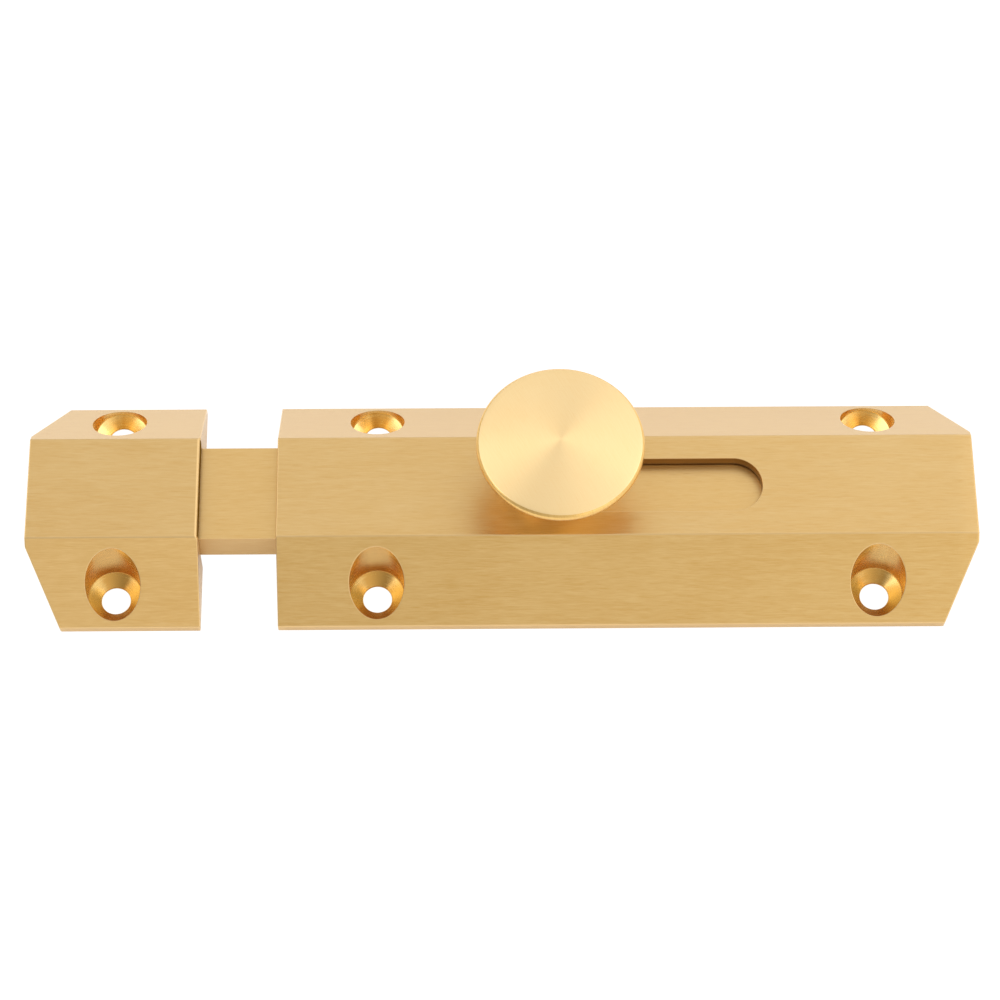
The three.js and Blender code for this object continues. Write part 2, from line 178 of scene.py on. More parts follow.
class Recipe:
    """Writes the node tree of one material or world."""

    def __init__(self, owner: bpy.types.Material | bpy.types.World) -> None:
        """Starts an empty tree.

        Args:
            owner: The material or world that it belongs to.
        """
        owner.use_nodes = True
        self.tree = owner.node_tree
        self.tree.nodes.clear()

    @staticmethod
    def _socket(sockets: Sequence[bpy.types.NodeSocket], key: int | str) -> bpy.types.NodeSocket:
        """Finds a socket.

        Args:
            sockets: A node's inputs or outputs.
            key: The socket's number, or the name of one that is in use.

        Returns:
            The socket.
        """
        if isinstance(key, int):
            return sockets[key]
        return next(socket for socket in sockets if socket.name == key and socket.enabled)

    def node(
        self,
        kind: str,
        settings: dict[str, object] | None = None,
        inputs: dict[int | str, object] | None = None,
        out: int | str = 0,
    ) -> Value | None:
        """Adds a node.

        Args:
            kind: The node's type.
            settings: Its settings, set before its sockets.
            inputs: A number, colour, vector or value for each socket.
            out: The output wanted.

        Returns:
            That output, or None from a node that has no outputs.
        """
        node = self.tree.nodes.new(kind)
        for key, setting in (settings or {}).items():
            setattr(node, key, setting)
        for key, given in (inputs or {}).items():
            socket = self._socket(node.inputs, key)
            if isinstance(given, Value):
                self.tree.links.new(given.socket, socket)
            else:
                socket.default_value = given
        outputs = node.outputs
        return Value(self, self._socket(outputs, out)) if len(outputs) else None

    def place(self) -> Value:
        """The point being shaded, in the object's own coordinates."""
        return self.node("ShaderNodeTexCoord", out="Object")

    def parts(self, vector: Value) -> tuple[Value, Value, Value]:
        """Splits a vector.

        Args:
            vector: The vector.

        Returns:
            Its X, Y and Z.
        """
        split = self.node("ShaderNodeSeparateXYZ", inputs={0: vector})
        outputs = split.socket.node.outputs
        return tuple(Value(self, outputs[i]) for i in range(3))

    def joined(self, x: Value | float, y: Value | float, z: Value | float) -> Value:
        """Makes a vector of three parts."""
        return self.node("ShaderNodeCombineXYZ", inputs={0: x, 1: y, 2: z})

    def mapped(
        self,
        vector: Value,
        sizes: Lengths,
        turn: float = 0.0,
        centre: Spot = (0.0, 0.0),
    ) -> Value:
        """Centres, turns and scales a pattern.

        Args:
            vector: The coordinates to start from.
            sizes: The length of one pattern unit along each axis.
            turn: The pattern's turn about Z, in radians.
            centre: Where the pattern's middle lies in X and Y.

        Returns:
            The new coordinates.
        """
        moved = {"Vector": vector, "Location": (-centre[0], -centre[1], 0.0)}
        centred = self.node("ShaderNodeMapping", inputs=moved)
        turned = {"Vector": centred, "Rotation": (0.0, 0.0, turn)}
        spun = self.node("ShaderNodeMapping", inputs=turned)
        scale = tuple(1.0 / size for size in sizes)
        return self.node("ShaderNodeMapping", inputs={"Vector": spun, "Scale": scale})

    def noise(self, vector: Value, detail: float = 2.0, roughness: float = 0.5) -> Value:
        """Soft noise about 0, one blob to each unit of the vector."""
        sockets = {"Vector": vector, "Scale": 1.0, "Detail": detail, "Roughness": roughness}
        return self.node("ShaderNodeTexNoise", inputs=sockets) - 0.5

    def mix(self, factor: Value | float, first: Colour, second: Colour) -> Value:
        """Blends two colours."""
        sockets = {"Factor": factor, "A": (*first, 1.0), "B": (*second, 1.0)}
        return self.node("ShaderNodeMix", {"data_type": "RGBA"}, sockets, "Result")

    def bump(self, height: Value, depth: float) -> Value:
        """Turns a height, in units of a depth in metres, into a normal."""
        sockets = {"Strength": 1.0, "Distance": depth, "Height": height}
        return self.node("ShaderNodeBump", inputs=sockets)

    def metal(
        self, colour: Value, roughness: Value, normal: Value, constants: dict[str, object]
    ) -> None:
        """Ends a material in a metal surface.

        Args:
            colour: Its colour.
            roughness: Its roughness.
            normal: Its normal.
            constants: What is the same all over, by socket name.
        """
        sockets = {"Base Color": colour, "Roughness": roughness, "Normal": normal, "Metallic": 1.0}
        surface = self.node("ShaderNodeBsdfPrincipled", inputs={**sockets, **constants})
        self.node("ShaderNodeOutputMaterial", inputs={"Surface": surface})


# ---------------------------------------------------------------- finishes


@dataclass(frozen=True)
class Finish:
    """A metal and how it was worked.

    Attributes:
        name: The material's name.
        dark: The metal's colour in the hollows of its marks.
        light: Its colour on their crests.
        roughness: How matt it is.
        coat: How much of a clear lacquer lies on it.
    """

    name: str
    dark: Colour
    light: Colour
    roughness: float
    coat: float = 0.0

    def material(self) -> bpy.types.Material:
        """Makes the material, or finds it if a piece has it already.

        Returns:
            The material.
        """
        made = bpy.data.materials.get(self.name)
        if made is None:
            made = bpy.data.materials.new(self.name)
            self.write(Recipe(made))
        return made

    def constants(self) -> dict[str, object]:
        """The surface's values that are the same all over."""
        return {"Coat Weight": self.coat, "Coat Roughness": 0.3} if self.coat else {}

    def write(self, recipe: Recipe) -> None:
        """Writes the finish's node tree into a recipe."""
        raise NotImplementedError


@dataclass(frozen=True)
class Brushed(Finish):
    """Metal brushed in straight short strokes along X.

    Attributes:
        stroke: Length of one stroke.
        hair: Width of one stroke.
        contrast: How far the strokes stand out in colour.
        depth: How deep they are.
        cloud: Size of one cloud of tone.
        stray_turn: How far stray scratches turn from the strokes, in radians.
    """

    stroke: float = 2.2 * MM
    hair: float = 0.15 * MM
    contrast: float = 1.5
    depth: float = 0.006 * MM
    cloud: Lengths = (16.0 * MM, 9.0 * MM, 9.0 * MM)
    stray_turn: float = 0.035

    def write(self, recipe: Recipe) -> None:
        """Writes fine strokes, broad bands, stray scratches and slow clouds of tone.

        Args:
            recipe: What it is written into.
        """
        place = recipe.place()
        hairs = recipe.noise(recipe.mapped(place, (self.stroke, self.hair, self.hair)), 2.0, 0.6)
        band = 4.0 * self.hair
        bands = recipe.noise(recipe.mapped(place, (3.0 * self.stroke, band, band)), 2.0)
        clouds = recipe.noise(recipe.mapped(place, self.cloud), 2.0)
        thin = 0.8 * self.hair
        stray = (1.5 * self.stroke, thin, thin)
        strays = recipe.noise(recipe.mapped(place, stray, self.stray_turn), 1.0)
        scratch = strays.ramp(0.15, 0.22)
        tone = hairs * self.contrast + bands * (0.5 * self.contrast) + clouds * 0.6 - scratch * 0.4
        colour = recipe.mix(tone + 0.5, self.dark, self.light)
        roughness = hairs * 0.20 + bands * 0.10 + clouds * 0.08 + self.roughness
        relief = recipe.bump(hairs + bands * 0.6 - scratch * 0.8, self.depth)
        recipe.metal(colour, roughness, relief, self.constants())


@dataclass(frozen=True)
class Burnished(Finish):
    """The broken edge of a brushed piece, rubbed smooth by hands and the polishing wheel.

    Attributes:
        nick: Size of one nick.
        patch: Size of one patch of wear.
        depth: How deep the nicks are.
    """

    nick: Lengths = (0.8 * MM, 0.25 * MM, 0.25 * MM)
    patch: Lengths = (7.0 * MM, 4.0 * MM, 4.0 * MM)
    depth: float = 0.0008 * MM

    def write(self, recipe: Recipe) -> None:
        """Writes small nicks and a slow change of tone along the edge.

        Args:
            recipe: What it is written into.
        """
        place = recipe.place()
        nicks = recipe.noise(recipe.mapped(place, self.nick), 2.0)
        wear = recipe.noise(recipe.mapped(place, self.patch), 2.0)
        colour = recipe.mix(nicks * 0.4 + wear * 0.6 + 0.5, self.dark, self.light)
        roughness = nicks * 0.08 + wear * 0.12 + self.roughness
        relief = recipe.bump(nicks + wear * 0.5, self.depth)
        recipe.metal(colour, roughness, relief, self.constants())


@dataclass(frozen=True)
class Turned(Finish):
    """Metal turned on a lathe about a vertical axis, with stray straight hairlines on its face.

    Attributes:
        axis: Where the lathe's axis stands in X and Y.
        ring: Width of one tool mark.
        gloss_spread: How far the tool marks spread a highlight across themselves, from 0 to 1.
        hairline_turn: The direction of the hairlines, in radians from X.
        hairline: Length of one hairline.
        stray: Length of one stray scratch.
        thin: Width of either.
        stray_turn: How far the strays turn from the hairlines, in radians.
        cloud: Size of one cloud of tone.
        depth: How deep the marks are.
    """

    axis: Spot = (0.0, 0.0)
    ring: float = 0.12 * MM
    gloss_spread: float = 0.7
    hairline_turn: float = math.radians(62.0)
    hairline: float = 3.5 * MM
    stray: float = 2.2 * MM
    thin: float = 0.18 * MM
    stray_turn: float = 0.06
    cloud: Lengths = (5.0 * MM, 5.0 * MM, 5.0 * MM)
    depth: float = 0.0016 * MM

    def write(self, recipe: Recipe) -> None:
        """Writes rings about the axis, hairlines across them and slow clouds of tone.

        Args:
            recipe: What it is written into.
        """
        place = recipe.place()
        centred = recipe.mapped(place, (1.0, 1.0, 1.0), 0.0, self.axis)
        x, y, z = recipe.parts(centred)
        radius = (x * x + y * y) ** 0.5
        drift = recipe.noise(recipe.mapped(centred, self.cloud), 1.0)
        turn = recipe.joined(radius / self.ring, z / self.ring, drift * 2.0)
        rings = recipe.noise(turn, 2.0, 0.6)
        hairline = (self.hairline, self.thin, 1.0)
        hairlines = recipe.noise(recipe.mapped(centred, hairline, self.hairline_turn), 1.5)
        stray = (self.stray, self.thin, 1.0)
        stray_turn = self.hairline_turn + self.stray_turn
        strays = recipe.noise(recipe.mapped(centred, stray, stray_turn), 1.0)
        scratch = strays.ramp(0.14, 0.24)
        tone = rings * 0.5 + hairlines * 0.8 + drift * 0.6 - scratch * 0.3
        colour = recipe.mix(tone + 0.5, self.dark, self.light)
        roughness = rings * 0.08 + hairlines * 0.06 + drift * 0.08 + self.roughness
        relief = recipe.bump(rings + hairlines * 0.6 - scratch, self.depth)
        constants = {"Anisotropic": self.gloss_spread, "Anisotropic Rotation": 0.25}
        recipe.metal(colour, roughness, relief, {**self.constants(), **constants})


@dataclass(frozen=True)
class Bored(Finish):
    """Metal cut by a rotating countersink in holes that stand in pairs about a middle.

    Attributes:
        middle: X of the middle between the holes of one side.
        spacing: Half the distance between them.
        across: Y of the holes on either side.
        ring: Height of one tool mark.
        painted_side_highlight: How much painted highlight lightens the cone towards ±X of each
            hole, with painted shade towards ±Y.
        painted_back_light: How much painted light lightens the holes towards +Y.
        wall: Height at which the cone gives way to the upright wall, which is painted lighter as
            painted light.
        blend: Half the height over which it does so.
        bite: Size of one mark of the tool's chatter.
        change: How far along X the next hole's marks differ.
        depth: How deep the marks are.
    """

    middle: float = 0.0
    spacing: float = 0.0
    across: float = 0.0
    ring: float = 0.14 * MM
    painted_side_highlight: float = 1.5
    painted_back_light: float = 0.4
    wall: float = 0.0
    blend: float = 0.1 * MM
    bite: Lengths = (0.5 * MM, 0.5 * MM, 0.16 * MM)
    change: float = 30.0 * MM
    depth: float = 0.004 * MM

    def write(self, recipe: Recipe) -> None:
        """Writes tool rings down the hole, faint random lighter and darker sectors round it, and
        painted light: a painted highlight on each cone's ±X sides with painted shade at its ±Y
        sides, a lighter upright wall, and lighter holes towards +Y.

        Args:
            recipe: What it is written into.
        """
        place = recipe.place()
        x, y, z = recipe.parts(place)
        along = abs(x - self.middle) - self.spacing
        sideways = abs(y) - self.across
        radius = (along * along + sideways * sideways) ** 0.5 + TOUCH
        whirl = recipe.joined(along / radius * 1.6, sideways / radius * 1.6, x / self.change)
        sectors = recipe.noise(whirl, 1.5)
        upright = z.ramp(self.wall - self.blend, self.wall + self.blend)
        # Painted light: the cone is lighter at each hole's ±X sides and darker at its ±Y sides,
        # and the upright wall is lighter.
        sides = ((along / radius) ** 2.0 - 0.45) * (1.0 - upright) + upright * 0.25
        turn = recipe.joined(radius / self.ring, z / self.ring, sectors * 1.5)
        rings = recipe.noise(turn, 2.0, 0.6)
        chatter = recipe.noise(recipe.mapped(place, self.bite), 2.0)
        # Painted light: how strong the side pattern is, and the holes towards +Y painted lighter.
        glow = sides * self.painted_side_highlight
        back = y.ramp(-MM, MM) * self.painted_back_light
        tone = rings * 0.8 + sectors * 1.1 + glow + chatter * 0.4 + back
        colour = recipe.mix(tone + 0.5, self.dark, self.light)
        roughness = rings * 0.12 + sectors * 0.14 + chatter * 0.06 + self.roughness
        relief = recipe.bump(rings + chatter * 0.4, self.depth)
        recipe.metal(colour, roughness, relief, self.constants())


@dataclass(frozen=True)
class Rolled(Finish):
    """Sheet or wire stock left as it came from the mill, a little stained.

    Attributes:
        streak: Length of one rolling streak along X.
        streak_width: Its width.
        stain: How strongly the stains show.
        blot: Size of one stain.
        pit: Size of one pit.
        depth: How deep streaks and pits are.
    """

    streak: float = 8.0 * MM
    streak_width: float = 0.35 * MM
    stain: float = 0.9
    blot: Lengths = (6.0 * MM, 4.5 * MM, 4.5 * MM)
    pit: Lengths = (0.3 * MM, 0.3 * MM, 0.3 * MM)
    depth: float = 0.004 * MM

    def write(self, recipe: Recipe) -> None:
        """Writes rolling streaks, stains and small pits.

        Args:
            recipe: What it is written into.
        """
        place = recipe.place()
        streak = (self.streak, self.streak_width, self.streak_width)
        streaks = recipe.noise(recipe.mapped(place, streak), 3.0)
        stains = recipe.noise(recipe.mapped(place, self.blot), 4.0, 0.6)
        pits = recipe.noise(recipe.mapped(place, self.pit), 2.0)
        tone = streaks * 0.6 + stains * self.stain + pits * 0.3
        colour = recipe.mix(tone + 0.5, self.dark, self.light)
        roughness = stains * 0.22 + streaks * 0.1 + self.roughness
        relief = recipe.bump(streaks * 0.7 + pits, self.depth)
        recipe.metal(colour, roughness, relief, self.constants())


@dataclass(frozen=True)
class PaintedShadow(Rolled):
    """A dark sheet without any shine, laid as painted shadow."""

    def constants(self) -> dict[str, object]:
        """The surface's values that are the same all over."""
        return {"Metallic": 0.0, "Specular IOR Level": 0.0}


SATIN = Brushed(
    "satin_brass_brushed", (0.612, 0.376, 0.122), (0.684, 0.466, 0.194), 0.36, coat=0.62
)
# Lighter than the satin body: partly burnished wear, partly a painted highlight along every broken
# edge.
EDGE = Burnished(
    "satin_brass_edge", (0.680, 0.430, 0.155), (0.750, 0.525, 0.240), 0.32, coat=0.62
)
BOLT = Brushed(
    "bolt_brass_brushed", (0.630, 0.385, 0.126), (0.705, 0.478, 0.200), 0.36, coat=0.3
)
# Painted light: the casing's front slope is a lighter, more saturated copy of the satin brass,
# with its own stronger brushing.
CASING_FRONT_PAINTED_LIGHT = Brushed(
    "casing_front_brushed",
    (0.655, 0.392, 0.118),
    (0.735, 0.490, 0.190),
    0.36,
    coat=0.32,
    contrast=1.9,
)
# Painted light: the keep's front slope is a lighter copy still.
KEEP_FRONT_PAINTED_LIGHT = Brushed(
    "keep_front_brushed",
    (0.775, 0.468, 0.150),
    (0.865, 0.578, 0.235),
    0.36,
    coat=0.3,
    contrast=1.6,
)
# Painted shade: the dark finish on the walls of the knob's slot.
SLOT_WALL_PAINTED_SHADE = Rolled(
    "slot_wall_brass", (0.270, 0.135, 0.032), (0.440, 0.250, 0.080), 0.45, streak=4.0 * MM
)
# Painted shadow: the dark gap line at the keep's mouth.
MOUTH_PAINTED_SHADOW = PaintedShadow(
    "sawn_end_tarnish", (0.075, 0.033, 0.002), (0.200, 0.098, 0.014), 0.6, streak=2.0 * MM
)
PLATE = Rolled("plate_brass_rolled", (0.560, 0.350, 0.130), (0.780, 0.540, 0.240), 0.42)
BRONZE = Rolled("spring_bronze_rolled", (0.480, 0.240, 0.090), (0.680, 0.390, 0.180), 0.36)
STEEL_DARK = (0.36, 0.36, 0.37)
STEEL_LIGHT = (0.56, 0.56, 0.58)


# ---------------------------------------------------------------- shaping tools


class Workpiece:
    """A mesh object on the bench, shaped by Blender's operators."""

    def __init__(self, name: str, finishes: Sequence[Finish] = ()) -> None:
        """Takes the object just added, with its place put into its mesh.

        Args:
            name: Its name.
            finishes: Its finishes, in the order of Skin.
        """
        self.object = bpy.context.object
        self.object.name = name
        self.object.data.name = name
        for finish in finishes:
            self.object.data.materials.append(finish.material())
        bpy.ops.object.transform_apply(location=True, rotation=True, scale=True)

    @staticmethod
    def clear() -> None:
        """Leaves edit mode and deselects every object."""
        if bpy.context.object is not None and bpy.context.object.mode != "OBJECT":
            bpy.ops.object.mode_set(mode="OBJECT")
        bpy.ops.object.select_all(action="DESELECT")

    @classmethod
    def block(
        cls, name: str, low: Vector, high: Vector, finishes: Sequence[Finish] = ()
    ) -> "Workpiece":
        """Starts from a block of stock.

        Args:
            name: The piece's name.
            low: The block's lowest corner.
            high: Its highest corner.
            finishes: The piece's finishes.

        Returns:
            The block, ready to be cut.
        """
        cls.clear()
        bpy.ops.mesh.primitive_cube_add(size=1.0, location=(low + high) / 2.0, scale=high - low)
        return cls(name, finishes)

    @classmethod
    def turned(
        cls,
        name: str,
        axis: Spot,
        profile: Profile,
        sides: int,
        finishes: Sequence[Finish] = (),
        pointed: bool = False,
    ) -> "Workpiece":
        """Starts from a disc and draws it up along a profile, as on a lathe.

        Args:
            name: The piece's name.
            axis: Where the lathe's axis stands in X and Y.
            profile: Radius and height of each ring, from the first disc to the last.
            sides: The number of sides round.
            finishes: The piece's finishes.
            pointed: Whether the last ring closes to a point on the axis.

        Returns:
            The closed turned body.
        """
        cls.clear()
        x, y = axis
        bpy.ops.mesh.primitive_circle_add(
            vertices=sides,
            radius=profile[0][0],
            fill_type="NGON",
            location=(x, y, profile[0][1]),
            rotation=(0.0, 0.0, math.pi / sides),
        )
        piece = cls(name, finishes)
        piece.open()
        bpy.ops.mesh.select_all(action="SELECT")
        for (radius, height), (new_radius, new_height) in zip(profile, profile[1:]):
            lift = {"value": (0.0, 0.0, new_height - height)}
            bpy.ops.mesh.extrude_region_move(TRANSFORM_OT_translate=lift)
            ratio = new_radius / radius
            centre = (x, y, new_height)
            bpy.ops.transform.resize(value=(ratio, ratio, 1.0), center_override=centre)
        if pointed:
            bpy.ops.mesh.merge(type="CENTER")
        piece.turn_outwards()
        piece.close()
        return piece

    def take_up(self) -> None:
        """Makes this the one selected and active object, in object mode."""
        self.clear()
        self.object.select_set(True)
        bpy.context.view_layer.objects.active = self.object

    def open(self, element: Element = Element.FACE) -> None:
        """Goes into edit mode with nothing selected.

        Args:
            element: The kind of element to work on.
        """
        self.take_up()
        bpy.ops.object.mode_set(mode="EDIT")
        bpy.ops.mesh.select_mode(type=element.value)
        bpy.ops.mesh.select_all(action="DESELECT")

    def close(self) -> None:
        """Goes back to object mode."""
        bpy.ops.object.mode_set(mode="OBJECT")

    def turn_outwards(self) -> None:
        """Makes every face point outwards. The piece is open."""
        bpy.ops.mesh.select_all(action="SELECT")
        bpy.ops.mesh.normals_make_consistent(inside=False)

    def pick(self, element: Element, test: Callable[[object], bool]) -> int:
        """Selects the elements that pass a test, and nothing else. The piece is open.

        Args:
            element: The kind of element.
            test: Says whether an element is wanted.

        Returns:
            How many are selected.
        """
        mesh = bmesh.from_edit_mesh(self.object.data)
        kinds = {Element.VERTEX: mesh.verts, Element.EDGE: mesh.edges, Element.FACE: mesh.faces}
        wanted = [item for item in kinds[element] if test(item)]
        for item in wanted:
            item.select_set(True)
        mesh.select_flush_mode()
        bmesh.update_edit_mesh(self.object.data)
        return len(wanted)

    def slice(self, point: Vector, normal: Vector, drop: bool = True) -> None:
        """Cuts the piece with a plane.

        Args:
            point: A point on the plane.
            normal: The plane's normal.
            drop: Whether what lies beyond the plane is dropped and the cut closed. If not, the
                plane only draws a line round the piece.
        """
        self.open()
        bpy.ops.mesh.select_all(action="SELECT")
        bpy.ops.mesh.bisect(
            plane_co=point, plane_no=normal.normalized(), use_fill=drop, clear_outer=drop
        )
        self.close()

    def shift(self, test: CornerTest, move: tuple[float, float, float]) -> None:
        """Moves some of the corners.

        Args:
            test: Says whether a corner is wanted.
            move: How far they go.
        """
        self.open(Element.VERTEX)
        if self.pick(Element.VERTEX, test):
            bpy.ops.transform.translate(value=move)
        self.close()

    def pull(self, test: FaceTest, move: tuple[float, float, float]) -> None:
        """Extrudes some of the faces.

        Args:
            test: Says whether a face is wanted.
            move: How far they go.
        """
        self.open()
        self.pick(Element.FACE, test)
        bpy.ops.mesh.extrude_region_move(TRANSFORM_OT_translate={"value": move})
        self.turn_outwards()
        self.close()

    def merge_flats(self) -> None:
        """Joins neighbouring faces that lie in one plane."""
        self.open()
        bpy.ops.mesh.select_all(action="SELECT")
        bpy.ops.mesh.dissolve_limited(angle_limit=math.radians(FLAT_ANGLE))
        self.close()

    def bevel(
        self, width: float, segments: int, test: EdgeTest, skin: Skin = Skin.EDGE
    ) -> None:
        """Bevels the edges that pass a test.

        Args:
            width: How far the bevel reaches down each face.
            segments: How many faces it has across.
            test: Says whether an edge is wanted.
            skin: The finish that the bevel carries.
        """
        self.open(Element.EDGE)
        if self.pick(Element.EDGE, test):
            bpy.ops.mesh.bevel(
                offset=width,
                segments=segments,
                affect="EDGES",
                clamp_overlap=False,
                material=skin,
            )
        self.close()

    def break_edges(self, width: float, segments: int = 2, sharp: float = 35.0) -> None:
        """Bevels every sharp edge.

        Args:
            width: How far the bevel reaches down each face.
            segments: How many faces it has across.
            sharp: By how much an edge turns at least, in degrees.
        """
        limit = math.radians(sharp)
        self.bevel(
            width, segments, lambda edge: edge.is_manifold and edge.calc_face_angle() > limit
        )

    def apply(self, kind: str, settings: dict[str, object]) -> None:
        """Adds a modifier and applies it.

        Args:
            kind: The modifier's type.
            settings: Its settings.
        """
        self.take_up()
        modifier = self.object.modifiers.new(kind.title(), kind)
        for key, setting in settings.items():
            setattr(modifier, key, setting)
        bpy.ops.object.modifier_apply(modifier=modifier.name)

    def cut(self, *tools: "Workpiece") -> None:
        """Cuts the shape of each tool out of the piece, then throws the tools away.

        Args:
            tools: The cutters, in order.
        """
        for tool in tools:
            settings = {"operation": "DIFFERENCE", "solver": "EXACT", "object": tool.object}
            self.apply("BOOLEAN", settings)
            mesh = tool.object.data
            bpy.data.objects.remove(tool.object)
            bpy.data.meshes.remove(mesh)

    def paint(self, skin: Skin, test: PlaceTest, over: Sequence[Skin] = tuple(Skin)) -> None:
        """Gives a finish to the faces whose corners all pass a test of their place.

        Args:
            skin: The new finish.
            test: Says whether a corner's place is wanted.
            over: The finishes that it may take the place of.
        """
        corners = self.object.data.vertices
        for face in self.object.data.polygons:
            if face.material_index in over and all(test(corners[i].co) for i in face.vertices):
                face.material_index = skin

    def copy(self, name: str, move: Vector) -> "Workpiece":
        """Copies the piece, with a mesh of its own.

        Args:
            name: The copy's name.
            move: How far the copy stands from the piece.

        Returns:
            The copy.
        """
        self.take_up()
        bpy.ops.object.duplicate()
        bpy.ops.transform.translate(value=move)
        return Workpiece(name)

    def smooth(self, sharp: float = 35.0) -> None:
        """Shades the piece smoothly, with flat faces kept flat.

        Args:
            sharp: The angle in degrees past which an edge stays sharp.
        """
        self.open()
        bpy.ops.mesh.select_all(action="SELECT")
        bpy.ops.mesh.remove_doubles(threshold=WELD)
        self.close()
        self.take_up()
        bpy.ops.object.shade_smooth_by_angle(angle=math.radians(sharp))
        self.apply("WEIGHTED_NORMAL", {"mode": "FACE_AREA", "keep_sharp": True, "weight": 50})

    def mount(self, body: str, slot: str, node: str) -> None:
        """Hands the finished piece to the frame.

        Args:
            body: The body it rides on.
            slot: The record's material slot; not used.
            node: The node that it stands for.
        """
        self.smooth()
        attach(self.object, body)
        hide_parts(node)
        LOG.info("%s: %d faces on %s", self.object.name, len(self.object.data.polygons), body)


def near(axis: Spot, reach: float) -> PlaceTest:
    """Makes a test of whether a place is within reach of a vertical axis."""
    return lambda place: math.hypot(place.x - axis[0], place.y - axis[1]) < reach


# ---------------------------------------------------------------- casing and keep


@dataclass
class Housing:
    """What casing and keep share: a chamfered bar with a channel up its back and two screw rows.

    Attributes:
        node: The node that the piece stands for.
        mouth: Which way the channel opens.
        screw_inset: From the closed end to the nearest screw holes.
        end_wall: Metal between the channel and the closed end.
        roll_off: Length at the closed end over which the flat top is rolled down, or 0.
        mouth_break: Width of the chamfer on the mouth's upper edge, or 0.
        front: The finish of the sloping side towards -Y, a lighter copy of the brushed brass:
            painted light.
        shade_paint: The painted shade on the walls of its slot, or the painted shadow on the lip
            over its channel.
        flat_width: Width of the flat top.
        side_land: Height of the upright foot of each side.
        end_face_width: Width of the closed end's face at its top.
        end_foot_width: Width of that face on the door.
        end_corner_depth: How far each cut corner reaches along a side.
        channel_half: Half the channel's width.
        channel_top: Height of the channel's roof.
        hole_radius: Radius of a screw hole.
        hole_land: Height of its straight part on the door.
        cone_top: Height at which its countersink ends.
        bore_radius: Radius of its counterbore.
        outer_wall: Metal between a counterbore and the side.
        outer_break: Width of the bar's broken edges.
        inner_break: Width of the broken edges of what is cut into it.
        bore_sides: Sides round a screw hole.
        roll_fall: How far the rolled edge falls, as a share of roll_off.
        slope_slack: How far from a sloping side still counts as on it.
        lip_slack: The same for the lip of the mouth.
        lip_margin: How far the lip's painted shadow reaches past the channel on either side.
        chamfer_slack: How far from the mouth's chamfer still counts as on it.
    """

    node: str
    mouth: Mouth
    screw_inset: float
    end_wall: float
    roll_off: float
    mouth_break: float
    front: Brushed
    shade_paint: Rolled
    flat_width: float = 16.0 * MM
    side_land: float = 1.4 * MM
    end_face_width: float = 18.0 * MM
    end_foot_width: float = 15.0 * MM
    end_corner_depth: float = 4.5 * MM
    channel_half: float = 7.7 * MM
    channel_top: float = 9.3 * MM
    hole_radius: float = 2.1 * MM
    hole_land: float = 0.3 * MM
    cone_top: float = 1.6 * MM
    bore_radius: float = 4.0 * MM
    outer_wall: float = 0.8 * MM
    outer_break: float = 0.16 * MM
    inner_break: float = 0.13 * MM
    bore_sides: int = 80
    roll_fall: float = 0.045
    slope_slack: float = 0.15 * MM
    lip_slack: float = 0.2 * MM
    lip_margin: float = 0.15 * MM
    chamfer_slack: float = 0.05 * MM

    def __post_init__(self) -> None:
        """Takes the bar's place from its node."""
        self.low, self.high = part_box(self.node)
        self.half = (self.high.y - self.low.y) / 2.0
        self.away = -int(self.mouth)
        self.closed_x = self.high.x if self.away > 0 else self.low.x
        self.mouth_x = self.low.x if self.away > 0 else self.high.x
        self.screw_y = self.half - self.outer_wall - self.bore_radius

    def stations(self) -> list[float]:
        """X of each pair of screw holes, nearest the closed end first."""
        return [self.closed_x - self.away * self.screw_inset]

    def screw_places(self) -> list[Spot]:
        """Where each screw hole stands in X and Y."""
        return [(x, side * self.screw_y) for x in self.stations() for side in (-1.0, 1.0)]

    def bore_finish(self) -> Bored:
        """Sets the finish of the screw holes about their places.

        Returns:
            The finish, with its tool marks round each hole.
        """
        stations = self.stations()
        middle = sum(stations) / len(stations)
        return Bored(
            f"{self.node}_bore_brass",
            (0.560, 0.300, 0.070),
            (0.900, 0.640, 0.250),
            0.26,
            wall=self.cone_top,
            middle=middle,
            spacing=abs(stations[0] - middle),
            across=self.screw_y,
        )

    def bar(self) -> Workpiece:
        """Cuts the bar from a block: two sloping sides and two cut corners, with broken edges.

        Returns:
            The bar, still solid.
        """
        finishes = (SATIN, EDGE, self.bore_finish(), self.shade_paint, self.front)
        piece = Workpiece.block(self.node + "_body", self.low, self.high, finishes)
        top = self.high.z
        flat = self.flat_width / 2.0
        face = self.end_face_width / 2.0
        foot = self.end_foot_width / 2.0
        face_height = top - (face - flat) * (top - self.side_land) / (self.half - flat)
        for side in (-1.0, 1.0):
            slope = Vector((0.0, side * (top - self.side_land), self.half - flat))
            piece.slice(Vector((0.0, side * flat, top)), slope)
            corner = Vector((self.closed_x, side * face, face_height))
            heel = Vector((self.closed_x, side * foot, self.low.z))
            shoulder_x = self.closed_x - self.away * self.end_corner_depth
            shoulder = Vector((shoulder_x, side * self.half, self.side_land))
            lean = (heel - corner).cross(shoulder - corner)
            piece.slice(corner, lean if lean.x * self.away > 0.0 else -lean)
        if self.roll_off:
            self.roll_over(piece)
        if self.mouth_break:
            bevel = Vector((-self.away, 0.0, 1.0))
            piece.slice(Vector((self.mouth_x, 0.0, top - self.mouth_break)), bevel)
        piece.break_edges(self.outer_break, segments=3, sharp=20.0)
        return piece

